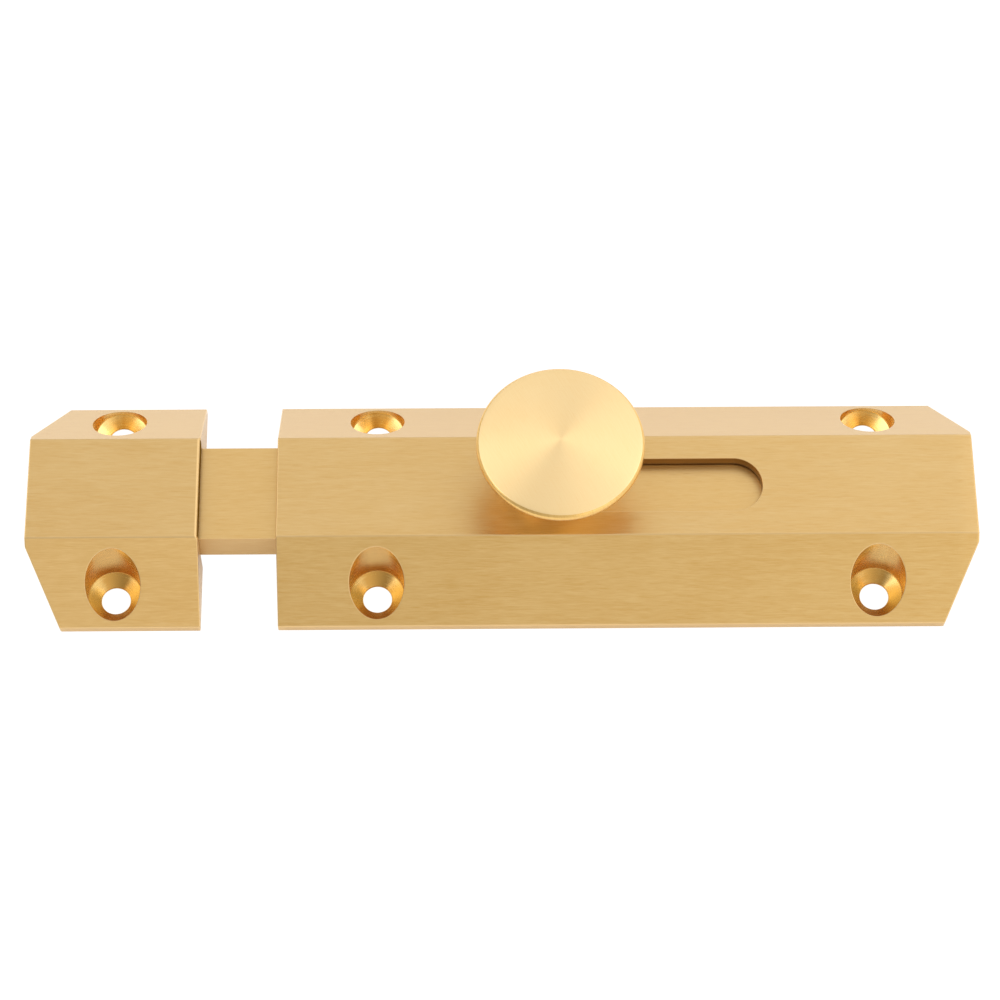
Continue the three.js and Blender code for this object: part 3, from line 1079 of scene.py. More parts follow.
    def roll_over(self, piece: Workpiece) -> None:
        """Eases the flat top down towards the closed end, as a polishing wheel does.

        Args:
            piece: The bar.
        """
        steps = (1.0, 0.72, 0.48, 0.28, 0.12)
        places = [self.closed_x - self.away * self.roll_off * step for step in steps]
        for x in places:
            piece.slice(Vector((x, 0.0, 0.0)), Vector((1.0, 0.0, 0.0)), drop=False)
        lowest = self.roll_fall * self.roll_off
        crest = self.high.z - TOUCH
        for x in (*places[1:], self.closed_x):
            share = 1.0 - abs(self.closed_x - x) / self.roll_off
            piece.shift(
                lambda corner: abs(corner.co.x - x) < TOUCH and corner.co.z > crest,
                (0.0, 0.0, -lowest * share * share),
            )

    def screw_tool(self, place: Spot) -> Workpiece:
        """Makes the cutter for one wood screw: hole, countersink and counterbore.

        Args:
            place: Where it stands in X and Y.

        Returns:
            The cutter.
        """
        profile = (
            (self.hole_radius, -REACH),
            (self.hole_radius, self.hole_land),
            (self.bore_radius, self.cone_top),
            (self.bore_radius, self.high.z + REACH),
        )
        return Workpiece.turned("screw_tool", place, profile, self.bore_sides)

    def channel_tool(self) -> Workpiece:
        """Makes the cutter for the channel, from beyond the mouth to the end wall.

        Returns:
            The cutter.
        """
        outside = self.mouth_x - self.away * REACH
        inside = self.closed_x - self.away * self.end_wall
        low = Vector((min(outside, inside), -self.channel_half, -REACH))
        high = Vector((max(outside, inside), self.channel_half, self.channel_top))
        return Workpiece.block("channel_tool", low, high)

    def build(self) -> Workpiece:
        """Cuts channel and screw holes into the bar.

        Returns:
            The housing with its rims broken and its holes painted as bored metal.
        """
        piece = self.bar()
        piece.cut(self.channel_tool())
        piece.cut(*(self.screw_tool(place) for place in self.screw_places()))
        self.work_further(piece)
        piece.break_edges(self.inner_break)
        if self.mouth_break:
            self.paint_mouth(piece)
        # Painted light: the front slope takes its lighter copy of the brushed brass.
        piece.paint(Skin.FRONT, self.on_front, (Skin.BODY,))
        for place in self.screw_places():
            piece.paint(Skin.BORE, near(place, self.bore_radius + TOUCH))
        return piece

    def paint_mouth(self, piece: Workpiece) -> None:
        """Paints a painted shadow on the lip over the channel, and a painted reflection in the
        bore finish on the part of the mouth's chamfer over it.

        Args:
            piece: The housing.
        """
        for side in (-1.0, 1.0):
            line = Vector((0.0, side * (self.channel_half + self.lip_margin), 0.0))
            piece.slice(line, Vector((0.0, 1.0, 0.0)), drop=False)
        # Painted shadow on the lip over the channel.
        piece.paint(Skin.SLOT, self.on_lip)
        # Painted reflection: the chamfer over the channel takes the orange bore finish.
        piece.paint(Skin.BORE, self.on_chamfer)

    def work_further(self, piece: Workpiece) -> None:
        """Does what only one of the housings needs."""

    def on_front(self, place: Vector) -> bool:
        """Tests for the sloping side towards -Y.

        Args:
            place: A place on the housing.

        Returns:
            Whether it lies there.
        """
        flat = self.flat_width / 2.0
        fall = (self.high.z - self.side_land) / (self.half - flat)
        off = self.high.z + (place.y + flat) * fall - place.z
        return place.y < -flat and abs(off) < self.slope_slack

    def on_lip(self, place: Vector) -> bool:
        """Tests for the end of the roof, at the mouth over the channel.

        Args:
            place: A place on the housing.

        Returns:
            Whether it lies there.
        """
        at_mouth = abs(place.x - self.mouth_x) < self.lip_slack
        over_channel = abs(place.y) < self.channel_half + self.lip_slack
        lowest = self.channel_top - self.lip_slack
        highest = self.high.z - self.mouth_break + self.inner_break
        return at_mouth and over_channel and lowest < place.z < highest

    def on_chamfer(self, place: Vector) -> bool:
        """Tests for the chamfer of the mouth, over the channel.

        Args:
            place: A place on the housing.

        Returns:
            Whether it lies there.
        """
        reach = self.mouth_break + self.chamfer_slack
        at_edge = abs(place.x - self.mouth_x) < reach and place.z > self.high.z - reach
        return at_edge and abs(place.y) < self.channel_half


@dataclass
class BackPlateSizes:
    """Sizes that the back plate, its screws and its seat in the casing share.

    Attributes:
        gap: Room between pieces that don't touch.
        margin: Metal that the casing keeps round a counterbore, beside the plate's wide middle.
        ledge: How far the plate's ends lie on the casing on either side of the channel.
        screw_inset: From the ends of the wide middle to the screws.
        screw_head: Radius of a screw's head.
        screw_shank: Radius of its shank.
        rim: Metal between a screw's countersink and the plate's side.
        corner_radius: Radius of the plate's corners.
        edge_break: Width of its broken edges.
    """

    gap: float = 0.3 * MM
    margin: float = 3.5 * MM
    ledge: float = 1.0 * MM
    screw_inset: float = 4.0 * MM
    screw_head: float = 2.3 * MM
    screw_shank: float = 1.25 * MM
    rim: float = 0.8 * MM
    corner_radius: float = 0.8 * MM
    edge_break: float = 0.07 * MM

    def wide_part(self, casing: Housing) -> tuple[float, float]:
        """Finds the plate's wide middle.

        Args:
            casing: The casing that it lies in.

        Returns:
            Where it starts and ends along X.
        """
        reach = casing.bore_radius + self.margin
        first, last = sorted(casing.stations())
        return first + reach, last - reach

    def screw_places(self, casing: Housing) -> list[Spot]:
        """Finds the four plate screws.

        Args:
            casing: The casing that they go into.

        Returns:
            Where each stands in X and Y.
        """
        start, end = self.wide_part(casing)
        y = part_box("back_plate")[1].y - self.rim - self.gap - self.screw_head
        columns = (start + self.screw_inset, end - self.screw_inset)
        return [(x, side * y) for x in columns for side in (-1.0, 1.0)]

    def outline(
        self, name: str, casing: Housing, low: float, high: float, grow: float
    ) -> Workpiece:
        """Shapes the plate, or the cutter for its seat.

        Args:
            name: The piece's name.
            casing: The casing that it lies in.
            low: Its underside.
            high: Its upper side.
            grow: How much larger than the plate it is all round.

        Returns:
            A strip with a wide middle.
        """
        plate_low, plate_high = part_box("back_plate")
        tongue = casing.channel_half + self.ledge - self.gap + grow
        wing = plate_high.y + grow - tongue
        start, end = self.wide_part(casing)
        start, end = start - grow, end + grow
        finishes = (PLATE, PLATE) if grow == 0.0 else ()
        corner = Vector((plate_low.x - grow, -tongue, low))
        opposite = Vector((plate_high.x + grow, tongue, high))
        piece = Workpiece.block(name, corner, opposite, finishes)
        for x in (start, end):
            piece.slice(Vector((x, 0.0, 0.0)), Vector((1.0, 0.0, 0.0)), drop=False)
        middle = Vector(((start + end) / 2.0, 0.0, (low + high) / 2.0))
        for side in (-1.0, 1.0):
            flank = middle + Vector((0.0, side * tongue, 0.0))
            piece.pull(
                lambda face: (face.calc_center_median() - flank).length < TOUCH,
                (0.0, side * wing, 0.0),
            )
        piece.merge_flats()
        return piece


@dataclass
class Casing(Housing):
    """The long housing: the shared form, the knob's slot, and the seat of the back plate.

    Attributes:
        slot_width: Width of the knob's slot.
        slot_overrun: How much further the slot goes than the knob.
        slot_sides: Sides round a full turn of its ends.
        pilot_top: Height of the top of the threaded holes.
        pilot_sides: Sides round them.
    """

    slot_width: float = 8.5 * MM
    slot_overrun: float = 0.2 * MM
    slot_sides: int = 96
    pilot_top: float = 4.9 * MM
    pilot_sides: int = 32

    def stations(self) -> list[float]:
        """X of each pair of screw holes: one pair near either end."""
        return [self.closed_x - self.screw_inset, self.mouth_x + self.screw_inset]

    def slot_run(self) -> tuple[float, float]:
        """Finds the run of the knob's axis in the slot.

        Returns:
            Where it starts and ends along X.
        """
        low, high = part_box("knob")
        start = (low.x + high.x) / 2.0
        return start, start + frame["joints"][0]["range_m"][1] + self.slot_overrun

    def slot_tool(self) -> Workpiece:
        """Makes the cutter for the slot that the knob's shank runs in.

        Returns:
            The cutter.
        """
        start, end = self.slot_run()
        radius = self.slot_width / 2.0 / math.cos(math.pi / self.slot_sides)
        profile = ((radius, self.channel_top - REACH), (radius, self.high.z + REACH))
        tool = Workpiece.turned("slot_tool", (start, 0.0), profile, self.slot_sides)
        tool.shift(lambda corner: corner.co.x > start, (end - start, 0.0, 0.0))
        return tool

    def work_further(self, piece: Workpiece) -> None:
        """Cuts the slot, the plate's seat and the threaded holes of its screws, and paints the
        slot's walls with painted shade.

        Args:
            piece: The casing.
        """
        plate = BackPlateSizes()
        seat_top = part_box("back_plate")[1].z + plate.gap
        pilot = plate.screw_shank + plate.gap
        piece.cut(self.slot_tool())
        piece.cut(plate.outline("seat_tool", self, -REACH, seat_top, plate.gap))
        for place in plate.screw_places(self):
            profile = ((pilot, -REACH), (pilot, self.pilot_top))
            piece.cut(Workpiece.turned("pilot_tool", place, profile, self.pilot_sides))
        half = self.slot_width / 2.0 + TOUCH
        start, end = self.slot_run()
        # Painted shade: the slot's walls take the dark finish.
        piece.paint(
            Skin.SLOT,
            lambda place: abs(place.y) < half and start - half < place.x < end + half,
        )


CASING = Casing(
    node="casing",
    mouth=Mouth.LEFT,
    screw_inset=14.5 * MM,
    end_wall=3.5 * MM,
    roll_off=3.2 * MM,
    mouth_break=0.0,
    front=CASING_FRONT_PAINTED_LIGHT,
    shade_paint=SLOT_WALL_PAINTED_SHADE,
)
KEEP = Housing(
    node="keep",
    mouth=Mouth.RIGHT,
    screw_inset=12.5 * MM,
    end_wall=4.0 * MM,
    roll_off=0.0,
    mouth_break=0.34 * MM,
    front=KEEP_FRONT_PAINTED_LIGHT,
    shade_paint=MOUTH_PAINTED_SHADOW,
)


# ---------------------------------------------------------------- screws and rivet


@dataclass
class CountersunkScrew:
    """A slotted screw with its head facing the door.

    Attributes:
        node: The node that the first one stands for.
        head: Radius of its head.
        shank: Radius of its shank.
        pitch: Height of one turn of its thread.
        sides: Sides round.
        driver_width: Width of its driver slot.
        driver_depth: Depth of that slot.
        thread_depth: Depth of its thread.
        head_rim: Height of the upright rim of its head.
        tip_height: Height of its tapered tip.
        tip_taper: How much narrower the tip's end is, in radius.
        edge_break: Width of its broken edges.
    """

    node: str
    head: float
    shank: float
    pitch: float
    sides: int = 40
    driver_width: float = 0.9 * MM
    driver_depth: float = 0.7 * MM
    thread_depth: float = 0.12 * MM
    head_rim: float = 0.12 * MM
    tip_height: float = 0.4 * MM
    tip_taper: float = 0.3 * MM
    edge_break: float = 0.05 * MM

    def profile(self, low: float, high: float) -> list[Spot]:
        """Draws the screw's outline from its head to its tip, with its thread as rings.

        Args:
            low: Height of its head's face.
            high: Height of its tip.

        Returns:
            Radius and height of each ring.
        """
        rings = [(self.head, low), (self.head, low + self.head_rim)]
        neck = low + self.head - self.shank + self.head_rim
        rings.append((self.shank, neck))
        turns = int((high - neck) / self.pitch) - 1
        for i in range(turns):
            base = neck + (i + 0.5) * self.pitch
            rings.append((self.shank, base))
            rings.append((self.shank - self.thread_depth, base + 0.5 * self.pitch))
        rings += [(self.shank, high - self.tip_height), (self.shank - self.tip_taper, high)]
        return rings

    def build(self, name: str, finish: Finish) -> Workpiece:
        """Turns the screw and cuts its driver slot.

        Args:
            name: The piece's name.
            finish: Its finish.

        Returns:
            The screw.
        """
        low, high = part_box(self.node)
        axis = ((low.x + high.x) / 2.0, (low.y + high.y) / 2.0)
        profile = self.profile(low.z, high.z)
        piece = Workpiece.turned(name, axis, profile, self.sides, (finish, finish))
        reach = Vector((self.head + REACH, self.driver_width / 2.0, 0.0))
        middle = Vector((*axis, 0.0))
        start = middle - reach + Vector((0.0, 0.0, low.z - REACH))
        end = middle + reach + Vector((0.0, 0.0, low.z + self.driver_depth))
        piece.cut(Workpiece.block("driver_tool", start, end))
        piece.break_edges(self.edge_break, sharp=50.0)
        return piece


# ---------------------------------------------------------------- sub-assemblies


@dataclass
class CasingSet:
    """Everything that stays on the door: casing, back plate and its screws, spring and rivet.

    Attributes:
        body: The body that it all rides on.
        gap: Room between pieces that don't touch.
        countersink_sides: Sides round the back plate's holes.
        screw_pitch: Height of one turn of a plate screw's thread.
        spring_steps: Faces along the leaf spring.
        spring_rows: Faces across it.
        spring_tab: Length of its flat end under the rivet.
        spring_thickness: Its thickness.
        spring_break: Width of its broken edges.
        rivet_shank: Radius of the rivet's shank.
        rivet_head: Radius of its domed head.
        rivet_head_height: Height of that head, and of the countersunk tail.
        rivet_crown: Radius of the flat top of the dome, as a share of the head's.
        rivet_steps: Faces up the dome.
        rivet_sides: Sides round the rivet.
        rivet_break: Width of its broken edges.
    """

    body: str = "casing_set"
    gap: float = 0.3 * MM
    countersink_sides: int = 48
    screw_pitch: float = 0.45 * MM
    spring_steps: int = 48
    spring_rows: int = 6
    spring_tab: float = 5.0 * MM
    spring_thickness: float = 0.35 * MM
    spring_break: float = 0.05 * MM
    rivet_shank: float = 1.0 * MM
    rivet_head: float = 1.9 * MM
    rivet_head_height: float = 0.6 * MM
    rivet_crown: float = 0.35
    rivet_steps: int = 6
    rivet_sides: int = 40
    rivet_break: float = 0.04 * MM

    def casing(self) -> None:
        """Builds and mounts the casing."""
        CASING.build().mount(self.body, "satin_brass", "casing")

    def countersink_tool(self, place: Spot, head: float, shank: float) -> Workpiece:
        """Makes the cutter for a hole that is countersunk from the door's side.

        Args:
            place: Where it stands in X and Y.
            head: Radius of its wide end.
            shank: Radius of its straight part.

        Returns:
            The cutter.
        """
        low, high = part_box("back_plate")
        profile = (
            (head + REACH, low.z - REACH),
            (shank, low.z + head - shank),
            (shank, high.z + REACH),
        )
        return Workpiece.turned("countersink_tool", place, profile, self.countersink_sides)

    def back_plate(self) -> None:
        """Builds and mounts the back plate."""
        sizes = BackPlateSizes()
        low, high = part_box("back_plate")
        piece = sizes.outline("back_plate_body", CASING, low.z, high.z, 0.0)
        for place in sizes.screw_places(CASING):
            head, shank = sizes.screw_head + sizes.gap, sizes.screw_shank + sizes.gap
            piece.cut(self.countersink_tool(place, head, shank))
        rivet_low, rivet_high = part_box("spring_rivet")
        rivet_x = (rivet_low.x + rivet_high.x) / 2.0
        shank = self.rivet_shank + sizes.gap
        piece.cut(self.countersink_tool((rivet_x, 0.0), shank + self.rivet_head_height, shank))
        piece.merge_flats()
        corners = self.corner_test(math.radians(80.0))
        piece.bevel(sizes.corner_radius, 4, corners, Skin.BODY)
        piece.break_edges(sizes.edge_break, sharp=40.0)
        piece.mount(self.body, "plate_brass", "back_plate")

    @staticmethod
    def corner_test(limit: float) -> EdgeTest:
        """Makes a test of whether an edge is an upright corner of the plate's outline.

        Args:
            limit: By how much a corner turns at least, in radians.

        Returns:
            The test.
        """

        def test(edge: bmesh.types.BMEdge) -> bool:
            """Tests one edge.

            Args:
                edge: An edge of the plate.

            Returns:
                Whether it stands upright and turns a square corner.
            """
            first, second = (corner.co for corner in edge.verts)
            upright = math.hypot(first.x - second.x, first.y - second.y) < WELD
            return upright and edge.is_manifold and edge.calc_face_angle() > limit

        return test

    def plate_screws(self) -> None:
        """Builds one plate screw, copies it to the other three places, and mounts all four."""
        steel = Turned("plate_screw_steel", STEEL_DARK, STEEL_LIGHT, 0.34, gloss_spread=0.3)
        sizes = BackPlateSizes()
        nodes = [f"plate_screw_{number}" for number in (1, 2, 3, 4)]
        screw = CountersunkScrew(nodes[0], sizes.screw_head, sizes.screw_shank, self.screw_pitch)
        pieces = [screw.build(nodes[0] + "_body", steel)]
        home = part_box(nodes[0])[0]
        for node in nodes[1:]:
            pieces.append(pieces[0].copy(node + "_body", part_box(node)[0] - home))
        for piece, node in zip(pieces, nodes):
            piece.mount(self.body, "fastener_steel", node)

    def leaf_spring(self) -> None:
        """Bends, thickens, drills and mounts the leaf spring."""
        low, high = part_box("leaf_spring")
        Workpiece.clear()
        middle = (low + high) / 2.0
        bpy.ops.mesh.primitive_grid_add(
            x_subdivisions=self.spring_steps,
            y_subdivisions=self.spring_rows,
            size=1.0,
            location=(middle.x, middle.y, low.z),
        )
        bpy.context.object.scale = (high.x - low.x, high.y - low.y, 1.0)
        piece = Workpiece("leaf_spring_body", (BRONZE, BRONZE))
        length = high.x - low.x
        free = length - self.spring_tab
        rise = high.z - low.z - self.spring_thickness
        step = length / self.spring_steps
        for i in range(1, self.spring_steps):
            share = i * step / free
            lift = rise * (1.0 - math.cos(2.0 * math.pi * share)) / 2.0 if share < 1.0 else 0.0
            if lift > 0.0:
                x = low.x + i * step
                piece.shift(lambda corner: abs(corner.co.x - x) < TOUCH, (0.0, 0.0, lift))
        piece.apply("SOLIDIFY", {"thickness": self.spring_thickness, "offset": 1.0})
        rivet_low, rivet_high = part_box("spring_rivet")
        hole = self.rivet_shank + self.gap
        profile = ((hole, low.z - REACH), (hole, high.z + REACH))
        place = ((rivet_low.x + rivet_high.x) / 2.0, 0.0)
        piece.cut(Workpiece.turned("rivet_tool", place, profile, 32))
        piece.break_edges(self.spring_break, sharp=60.0)
        piece.mount(self.body, "spring_bronze", "leaf_spring")

    def spring_rivet(self) -> None:
        """Turns and mounts the rivet that holds the spring."""
        low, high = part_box("spring_rivet")
        axis = ((low.x + high.x) / 2.0, (low.y + high.y) / 2.0)
        steel = Turned(
            "rivet_steel",
            (0.34, 0.34, 0.35),
            (0.54, 0.54, 0.56),
            0.36,
            axis=axis,
            gloss_spread=0.3,
        )
        tail = self.rivet_shank + self.rivet_head_height
        head_low = high.z - self.rivet_head_height
        profile = [
            (tail, low.z),
            (self.rivet_shank, low.z + self.rivet_head_height),
            (self.rivet_shank, head_low),
            (self.rivet_head, head_low),
        ]
        for i in range(1, self.rivet_steps + 1):
            turn = i / self.rivet_steps * math.pi / 2.0
            share = self.rivet_crown + (1.0 - self.rivet_crown) * math.cos(turn)
            height = head_low + self.rivet_head_height * math.sin(turn)
            profile.append((self.rivet_head * share, height))
        finishes = (steel, steel)
        piece = Workpiece.turned("spring_rivet_body", axis, profile, self.rivet_sides, finishes)
        piece.break_edges(self.rivet_break, sharp=60.0)
        piece.mount(self.body, "fastener_steel", "spring_rivet")

    def build(self) -> None:
        """Builds the sub-assembly."""
        self.casing()
        self.back_plate()
        self.plate_screws()
        self.leaf_spring()
        self.spring_rivet()


@dataclass
class SlidingBolt:
    """What slides: the flat bolt, the knob on it, and the screw that holds the knob.

    Attributes:
        body: The body that it all rides on.
        nose_chamfer: Width of the chamfers on the bolt's nose.
        bolt_break: Width of the bolt's broken edges.
        screw_head: Radius of the knob screw's head.
        screw_shank: Radius of its shank.
        screw_pitch: Height of one turn of its thread.
        gap: Room between pieces that don't touch, and the chamfer of the knob's hole.
        knob_sides: Sides round the knob.
        shank_radius: Radius of its shank.
        foot_break: Width of the broken edge of its foot.
        neck_height: Height of the straight part of its shank.
        rim_radius: Radius of its rim.
        rim_bevel: Width of the chamfers over and under the rim.
        rim_break: Width of their broken edges.
        rim_thickness: Height of the rim.
        dome_rise: How far the face is domed.
        tip_radius: Radius of the last ring on the face.
        flare_steps: Faces up the flare under the rim.
        dome_steps: Faces from the rim to the middle of the face.
    """

    body: str = "sliding_bolt"
    nose_chamfer: float = 0.5 * MM
    bolt_break: float = 0.12 * MM
    screw_head: float = 3.8 * MM
    screw_shank: float = 2.0 * MM
    screw_pitch: float = 0.7 * MM
    gap: float = 0.3 * MM
    knob_sides: int = 128
    shank_radius: float = 3.95 * MM
    foot_break: float = 0.15 * MM
    neck_height: float = 4.2 * MM
    rim_radius: float = 12.0 * MM
    rim_bevel: float = 0.4 * MM
    rim_break: float = 0.07 * MM
    rim_thickness: float = 1.2 * MM
    dome_rise: float = 0.8 * MM
    tip_radius: float = 0.2 * MM
    flare_steps: int = 24
    dome_steps: int = 14

    def __post_init__(self) -> None:
        """Takes the knob's axis from its node."""
        self.knob_low, self.knob_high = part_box("knob")
        self.axis = ((self.knob_low.x + self.knob_high.x) / 2.0, 0.0)

    def bolt(self) -> None:
        """Builds and mounts the flat bolt."""
        low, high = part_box("bolt")
        piece = Workpiece.block("bolt_body", low, high, (BOLT, EDGE))
        piece.bevel(
            self.nose_chamfer,
            1,
            lambda edge: all(corner.co.x < low.x + REACH for corner in edge.verts)
            and abs(edge.verts[0].co.z - edge.verts[1].co.z) > REACH,
            Skin.BODY,
        )
        screw_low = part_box("knob_screw")[0]
        head, shank = self.screw_head + self.gap, self.screw_shank + self.gap
        profile = (
            (head, low.z - REACH),
            (head, screw_low.z),
            (shank, screw_low.z + head - shank),
            (shank, high.z + REACH),
        )
        piece.cut(Workpiece.turned("knob_screw_tool", self.axis, profile, 64))
        piece.break_edges(self.bolt_break, segments=3, sharp=30.0)
        piece.mount(self.body, "satin_brass", "bolt")

    def knob_profile(self) -> list[Spot]:
        """Draws the knob's outline: up its threaded hole, round its foot and flare, to its top.

        Returns:
            Radius and height of each ring.
        """
        bore = self.screw_shank + self.gap
        bore_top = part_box("knob_screw")[1].z + self.gap
        foot = self.knob_low.z
        top = self.knob_high.z
        rim_top = top - self.dome_rise
        rim_low = rim_top - self.rim_thickness
        neck = foot + self.neck_height
        face = self.rim_radius - self.rim_bevel
        rings = [
            (bore, bore_top),
            (bore, foot + self.gap),
            (bore + self.gap, foot),
            (self.shank_radius - self.foot_break, foot),
            (self.shank_radius, foot + self.foot_break),
        ]
        flare_high = rim_low - self.rim_bevel
        for i in range(self.flare_steps + 1):
            turn = i / self.flare_steps * math.pi / 2.0
            radius = face - (face - self.shank_radius) * math.cos(turn)
            rings.append((radius, neck + (flare_high - neck) * math.sin(turn)))
        soft = self.rim_break
        shoulder = rim_top - self.rim_bevel
        rings += [
            (self.rim_radius - soft, rim_low - soft),
            (self.rim_radius, rim_low + soft),
            (self.rim_radius, shoulder - soft),
            (self.rim_radius - soft, shoulder + soft),
            (face + soft, rim_top - soft),
        ]
        dome = (face * face + self.dome_rise * self.dome_rise) / (2.0 * self.dome_rise)
        for i in range(self.dome_steps):
            radius = face * (1.0 - i / self.dome_steps) - (soft if i == 0 else 0.0)
            rings.append((radius, top - dome + math.sqrt(dome * dome - radius * radius)))
        rings.append((self.tip_radius, top))
        return rings

    def knob(self) -> None:
        """Turns and mounts the knob, with painted light on its face and painted shade on its rim
        and underside.
        """
        # Painted light: the face takes a much lighter copy of the turned brass than the rim below.
        face = Turned(
            "turned_brass_face",
            (0.960, 0.675, 0.305),
            (1.000, 0.760, 0.390),
            0.48,
            coat=0.9,
            axis=self.axis,
            gloss_spread=0.75,
        )
        # Painted shade: the rim, underside and shank take a darker copy of the same turned brass.
        rim = Turned(
            "turned_brass_rim",
            (0.720, 0.430, 0.120),
            (0.850, 0.570, 0.220),
            0.3,
            axis=self.axis,
            gloss_spread=0.3,
        )
        piece = Workpiece.turned(
            "knob_body",
            self.axis,
            self.knob_profile(),
            self.knob_sides,
            (face, rim),
            pointed=True,
        )
        rim_top = self.knob_high.z - self.dome_rise - 2.0 * TOUCH
        # Painted shade: everything below the rim's top takes the darker copy.
        piece.paint(Skin.EDGE, lambda place: place.z < rim_top)
        piece.mount(self.body, "turned_brass", "knob")

    def knob_screw(self) -> None:
        """Builds and mounts the screw that holds the knob."""
        steel = Turned(
            "knob_screw_steel",
            STEEL_DARK,
            STEEL_LIGHT,
            0.32,
            axis=self.axis,
            gloss_spread=0.3,
        )
        screw = CountersunkScrew(
            "knob_screw", self.screw_head, self.screw_shank, self.screw_pitch, sides=48
        )
        screw.build("knob_screw_body", steel).mount(self.body, "fastener_steel", "knob_screw")

    def build(self) -> None:
        """Builds the sub-assembly."""
        self.bolt()
        self.knob()
        self.knob_screw()


@dataclass
class KeepSet:
    """The keep that catches the bolt.

    Attributes:
        body: The body that it rides on.
    """

    body: str = "keep"

    def build(self) -> None:
        """Builds and mounts the keep."""
        KEEP.build().mount(self.body, "satin_brass", "keep")


# ---------------------------------------------------------------- studio


@dataclass
class SoftBox:
    """A large soft lamp that shines on the set.

    Attributes:
        name: Its name.
        place: Where it stands, in metres from the middle of the set.
        size: Its width and height.
        radiance: How bright its face is.
    """

    name: str
    place: tuple[float, float, float]
    size: tuple[float, float]
    radiance: float

    def build(self) -> None:
        """Hangs the lamp, facing the middle of the set."""
        lamp = bpy.data.lights.new(self.name, "AREA")
        lamp.shape = "RECTANGLE"
        lamp.size, lamp.size_y = self.size
        lamp.energy = self.radiance * math.pi * self.size[0] * self.size[1]
        stand = bpy.data.objects.new(self.name, lamp)
        stand.location = self.place
        stand.rotation_euler = (-Vector(self.place)).to_track_quat("-Z", "Y").to_euler()
        stand.visible_camera = False
        bpy.context.scene.collection.objects.link(stand)


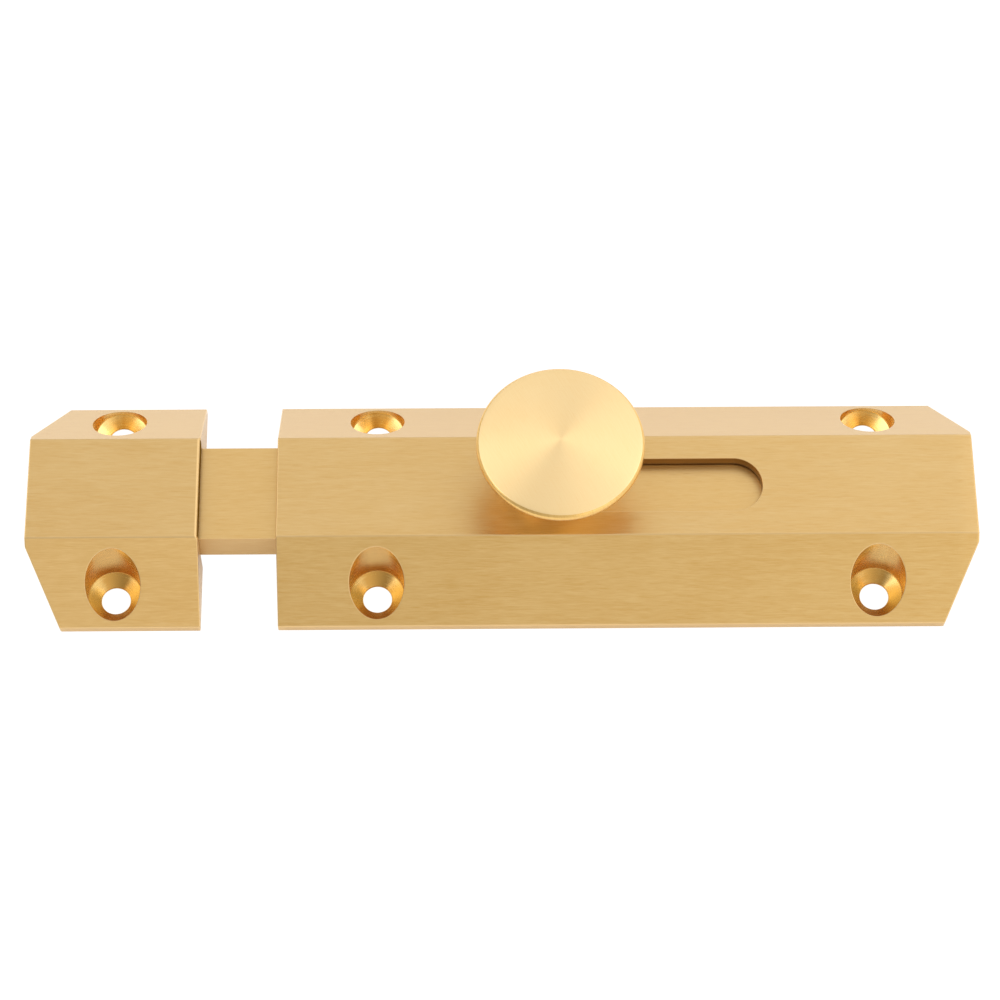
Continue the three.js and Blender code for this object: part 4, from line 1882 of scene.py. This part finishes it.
@dataclass
class Studio:
    """The floor, the light and the camera.

    Attributes:
        azimuth: Where the camera stands round the set, in degrees from straight in front.
        elevation: How high it stands, in degrees.
        roll: How far it is tilted, in degrees.
        distance: How far it is from the aim, along its own axis.
        aim: The point that it is set up on.
        aim_right: How far right of the camera's axis the aim lies.
        aim_up: How far above that axis it lies.
        lens: The camera's focal length in millimetres.
        sensor: The width of its sensor in millimetres.
        floor_size: Width of the floor.
        floor_drop: How far the floor lies below the set.
        card_drop: How far the card lies below it.
        room_left: How bright the room is on the left.
        room_right: How bright it is on the right.
        room_blend: Where those two begin, as the X of a direction.
    """

    azimuth: float = -1.762
    elevation: float = 63.455
    roll: float = 1.255
    distance: float = 486.6 * MM
    aim: tuple[float, float, float] = (0.15 * MM, 0.0, 0.0)
    aim_right: float = 0.376 * MM
    aim_up: float = -2.804 * MM
    lens: float = 117.75
    sensor: float = 36.0
    floor_size: float = 6.0
    floor_drop: float = 0.1 * MM
    card_drop: float = 0.05 * MM
    room_left: float = 0.53
    room_right: float = 1.16
    room_blend: float = 0.5

    def sheet(self, name: str, height: float, grey: float, glow: float) -> bpy.types.Object:
        """Lays a large plain sheet under the set, clear from beneath, so that the backs show.

        Args:
            name: Its name.
            height: Its height.
            grey: How much light it gives back.
            glow: How bright it is by itself.

        Returns:
            The sheet.
        """
        Workpiece.clear()
        bpy.ops.mesh.primitive_plane_add(size=self.floor_size, location=(0.0, 0.0, height))
        laid = Workpiece(name).object
        paper = bpy.data.materials.new(name + "_white")
        recipe = Recipe(paper)
        sockets = {
            "Base Color": (grey, grey, grey, 1.0),
            "Roughness": 0.9,
            "Specular IOR Level": 0.0,
            "Emission Color": (1.0, 1.0, 1.0, 1.0),
            "Emission Strength": glow,
        }
        surface = recipe.node("ShaderNodeBsdfPrincipled", inputs=sockets)
        beneath = recipe.node("ShaderNodeNewGeometry", out="Backfacing")
        clear = recipe.node("ShaderNodeBsdfTransparent")
        seen = recipe.node("ShaderNodeMixShader", inputs={0: beneath, 1: surface, 2: clear})
        recipe.node("ShaderNodeOutputMaterial", inputs={"Surface": seen})
        laid.data.materials.append(paper)
        return laid

    def floor(self) -> None:
        """Lays a plain white floor, and over it a card that only the metal sees."""
        floor = self.sheet("floor", CAD_LOW.z - self.floor_drop, grey=0.1, glow=1.0)
        floor.visible_glossy = False
        floor.visible_diffuse = False
        floor.visible_shadow = False
        card = self.sheet("card", CAD_LOW.z - self.card_drop, grey=0.85, glow=0.30)
        card.visible_camera = False

    def surroundings(self) -> None:
        """Lights the room softly from all round, more from the right than from the left."""
        world = bpy.data.worlds.new("studio_room")
        bpy.context.scene.world = world
        recipe = Recipe(world)
        x, _, _ = recipe.parts(recipe.node("ShaderNodeTexCoord", out="Generated"))
        limits = {
            "Value": x,
            "From Min": -self.room_blend,
            "From Max": self.room_blend,
            "To Min": self.room_left,
            "To Max": self.room_right,
        }
        strength = recipe.node("ShaderNodeMapRange", inputs=limits)
        sockets = {"Color": (1.0, 1.0, 1.0, 1.0), "Strength": strength}
        light = recipe.node("ShaderNodeBackground", inputs=sockets)
        recipe.node("ShaderNodeOutputWorld", inputs={"Surface": light})

    def lamps(self) -> None:
        """Hangs a broad lamp over the set's back, one at either side and a low one in front."""
        SoftBox("lamp_over", (0.05, 0.55, 1.00), (1.2, 0.9), 0.29).build()
        SoftBox("lamp_right", (0.95, 0.20, 0.80), (0.7, 0.6), 1.05).build()
        SoftBox("lamp_left", (-0.95, 0.10, 0.80), (1.3, 0.7), 1.7).build()
        SoftBox("lamp_front", (0.75, -0.95, 0.55), (0.9, 0.5), 0.5).build()

    def camera(self) -> None:
        """Sets up the camera on the aim."""
        azimuth, elevation, roll = map(math.radians, (self.azimuth, self.elevation, self.roll))
        level = math.cos(elevation)
        back = Vector((math.sin(azimuth) * level, -math.cos(azimuth) * level, math.sin(elevation)))
        right = (-back).cross(Vector((0.0, 0.0, 1.0))).normalized()
        up = back.cross(right)
        right, up = (
            math.cos(roll) * right + math.sin(roll) * up,
            math.cos(roll) * up - math.sin(roll) * right,
        )
        place = Vector(self.aim) - right * self.aim_right - up * self.aim_up + back * self.distance
        data = bpy.data.cameras.new("camera")
        data.sensor_width = self.sensor
        data.lens = self.lens
        data.clip_start = 10.0 * MM
        data.clip_end = 20.0
        data.dof.use_dof = False
        camera = bpy.data.objects.new("camera", data)
        turn = Matrix((right, up, back)).transposed().to_4x4()
        camera.matrix_world = Matrix.Translation(place) @ turn
        bpy.context.scene.collection.objects.link(camera)
        bpy.context.scene.camera = camera

    def build(self) -> None:
        """Sets up the studio."""
        self.floor()
        self.surroundings()
        self.lamps()
        self.camera()
        bpy.context.scene.view_settings.view_transform = "Standard"


def main() -> None:
    """Builds the studio and the three sub-assemblies."""
    logging.basicConfig(level=logging.INFO, format="%(name)s %(message)s")
    for assembly in (Studio(), CasingSet(), SlidingBolt(), KeepSet()):
        assembly.build()
        LOG.info("%s is built", type(assembly).__name__)


if __name__ == "__main__":
    main()
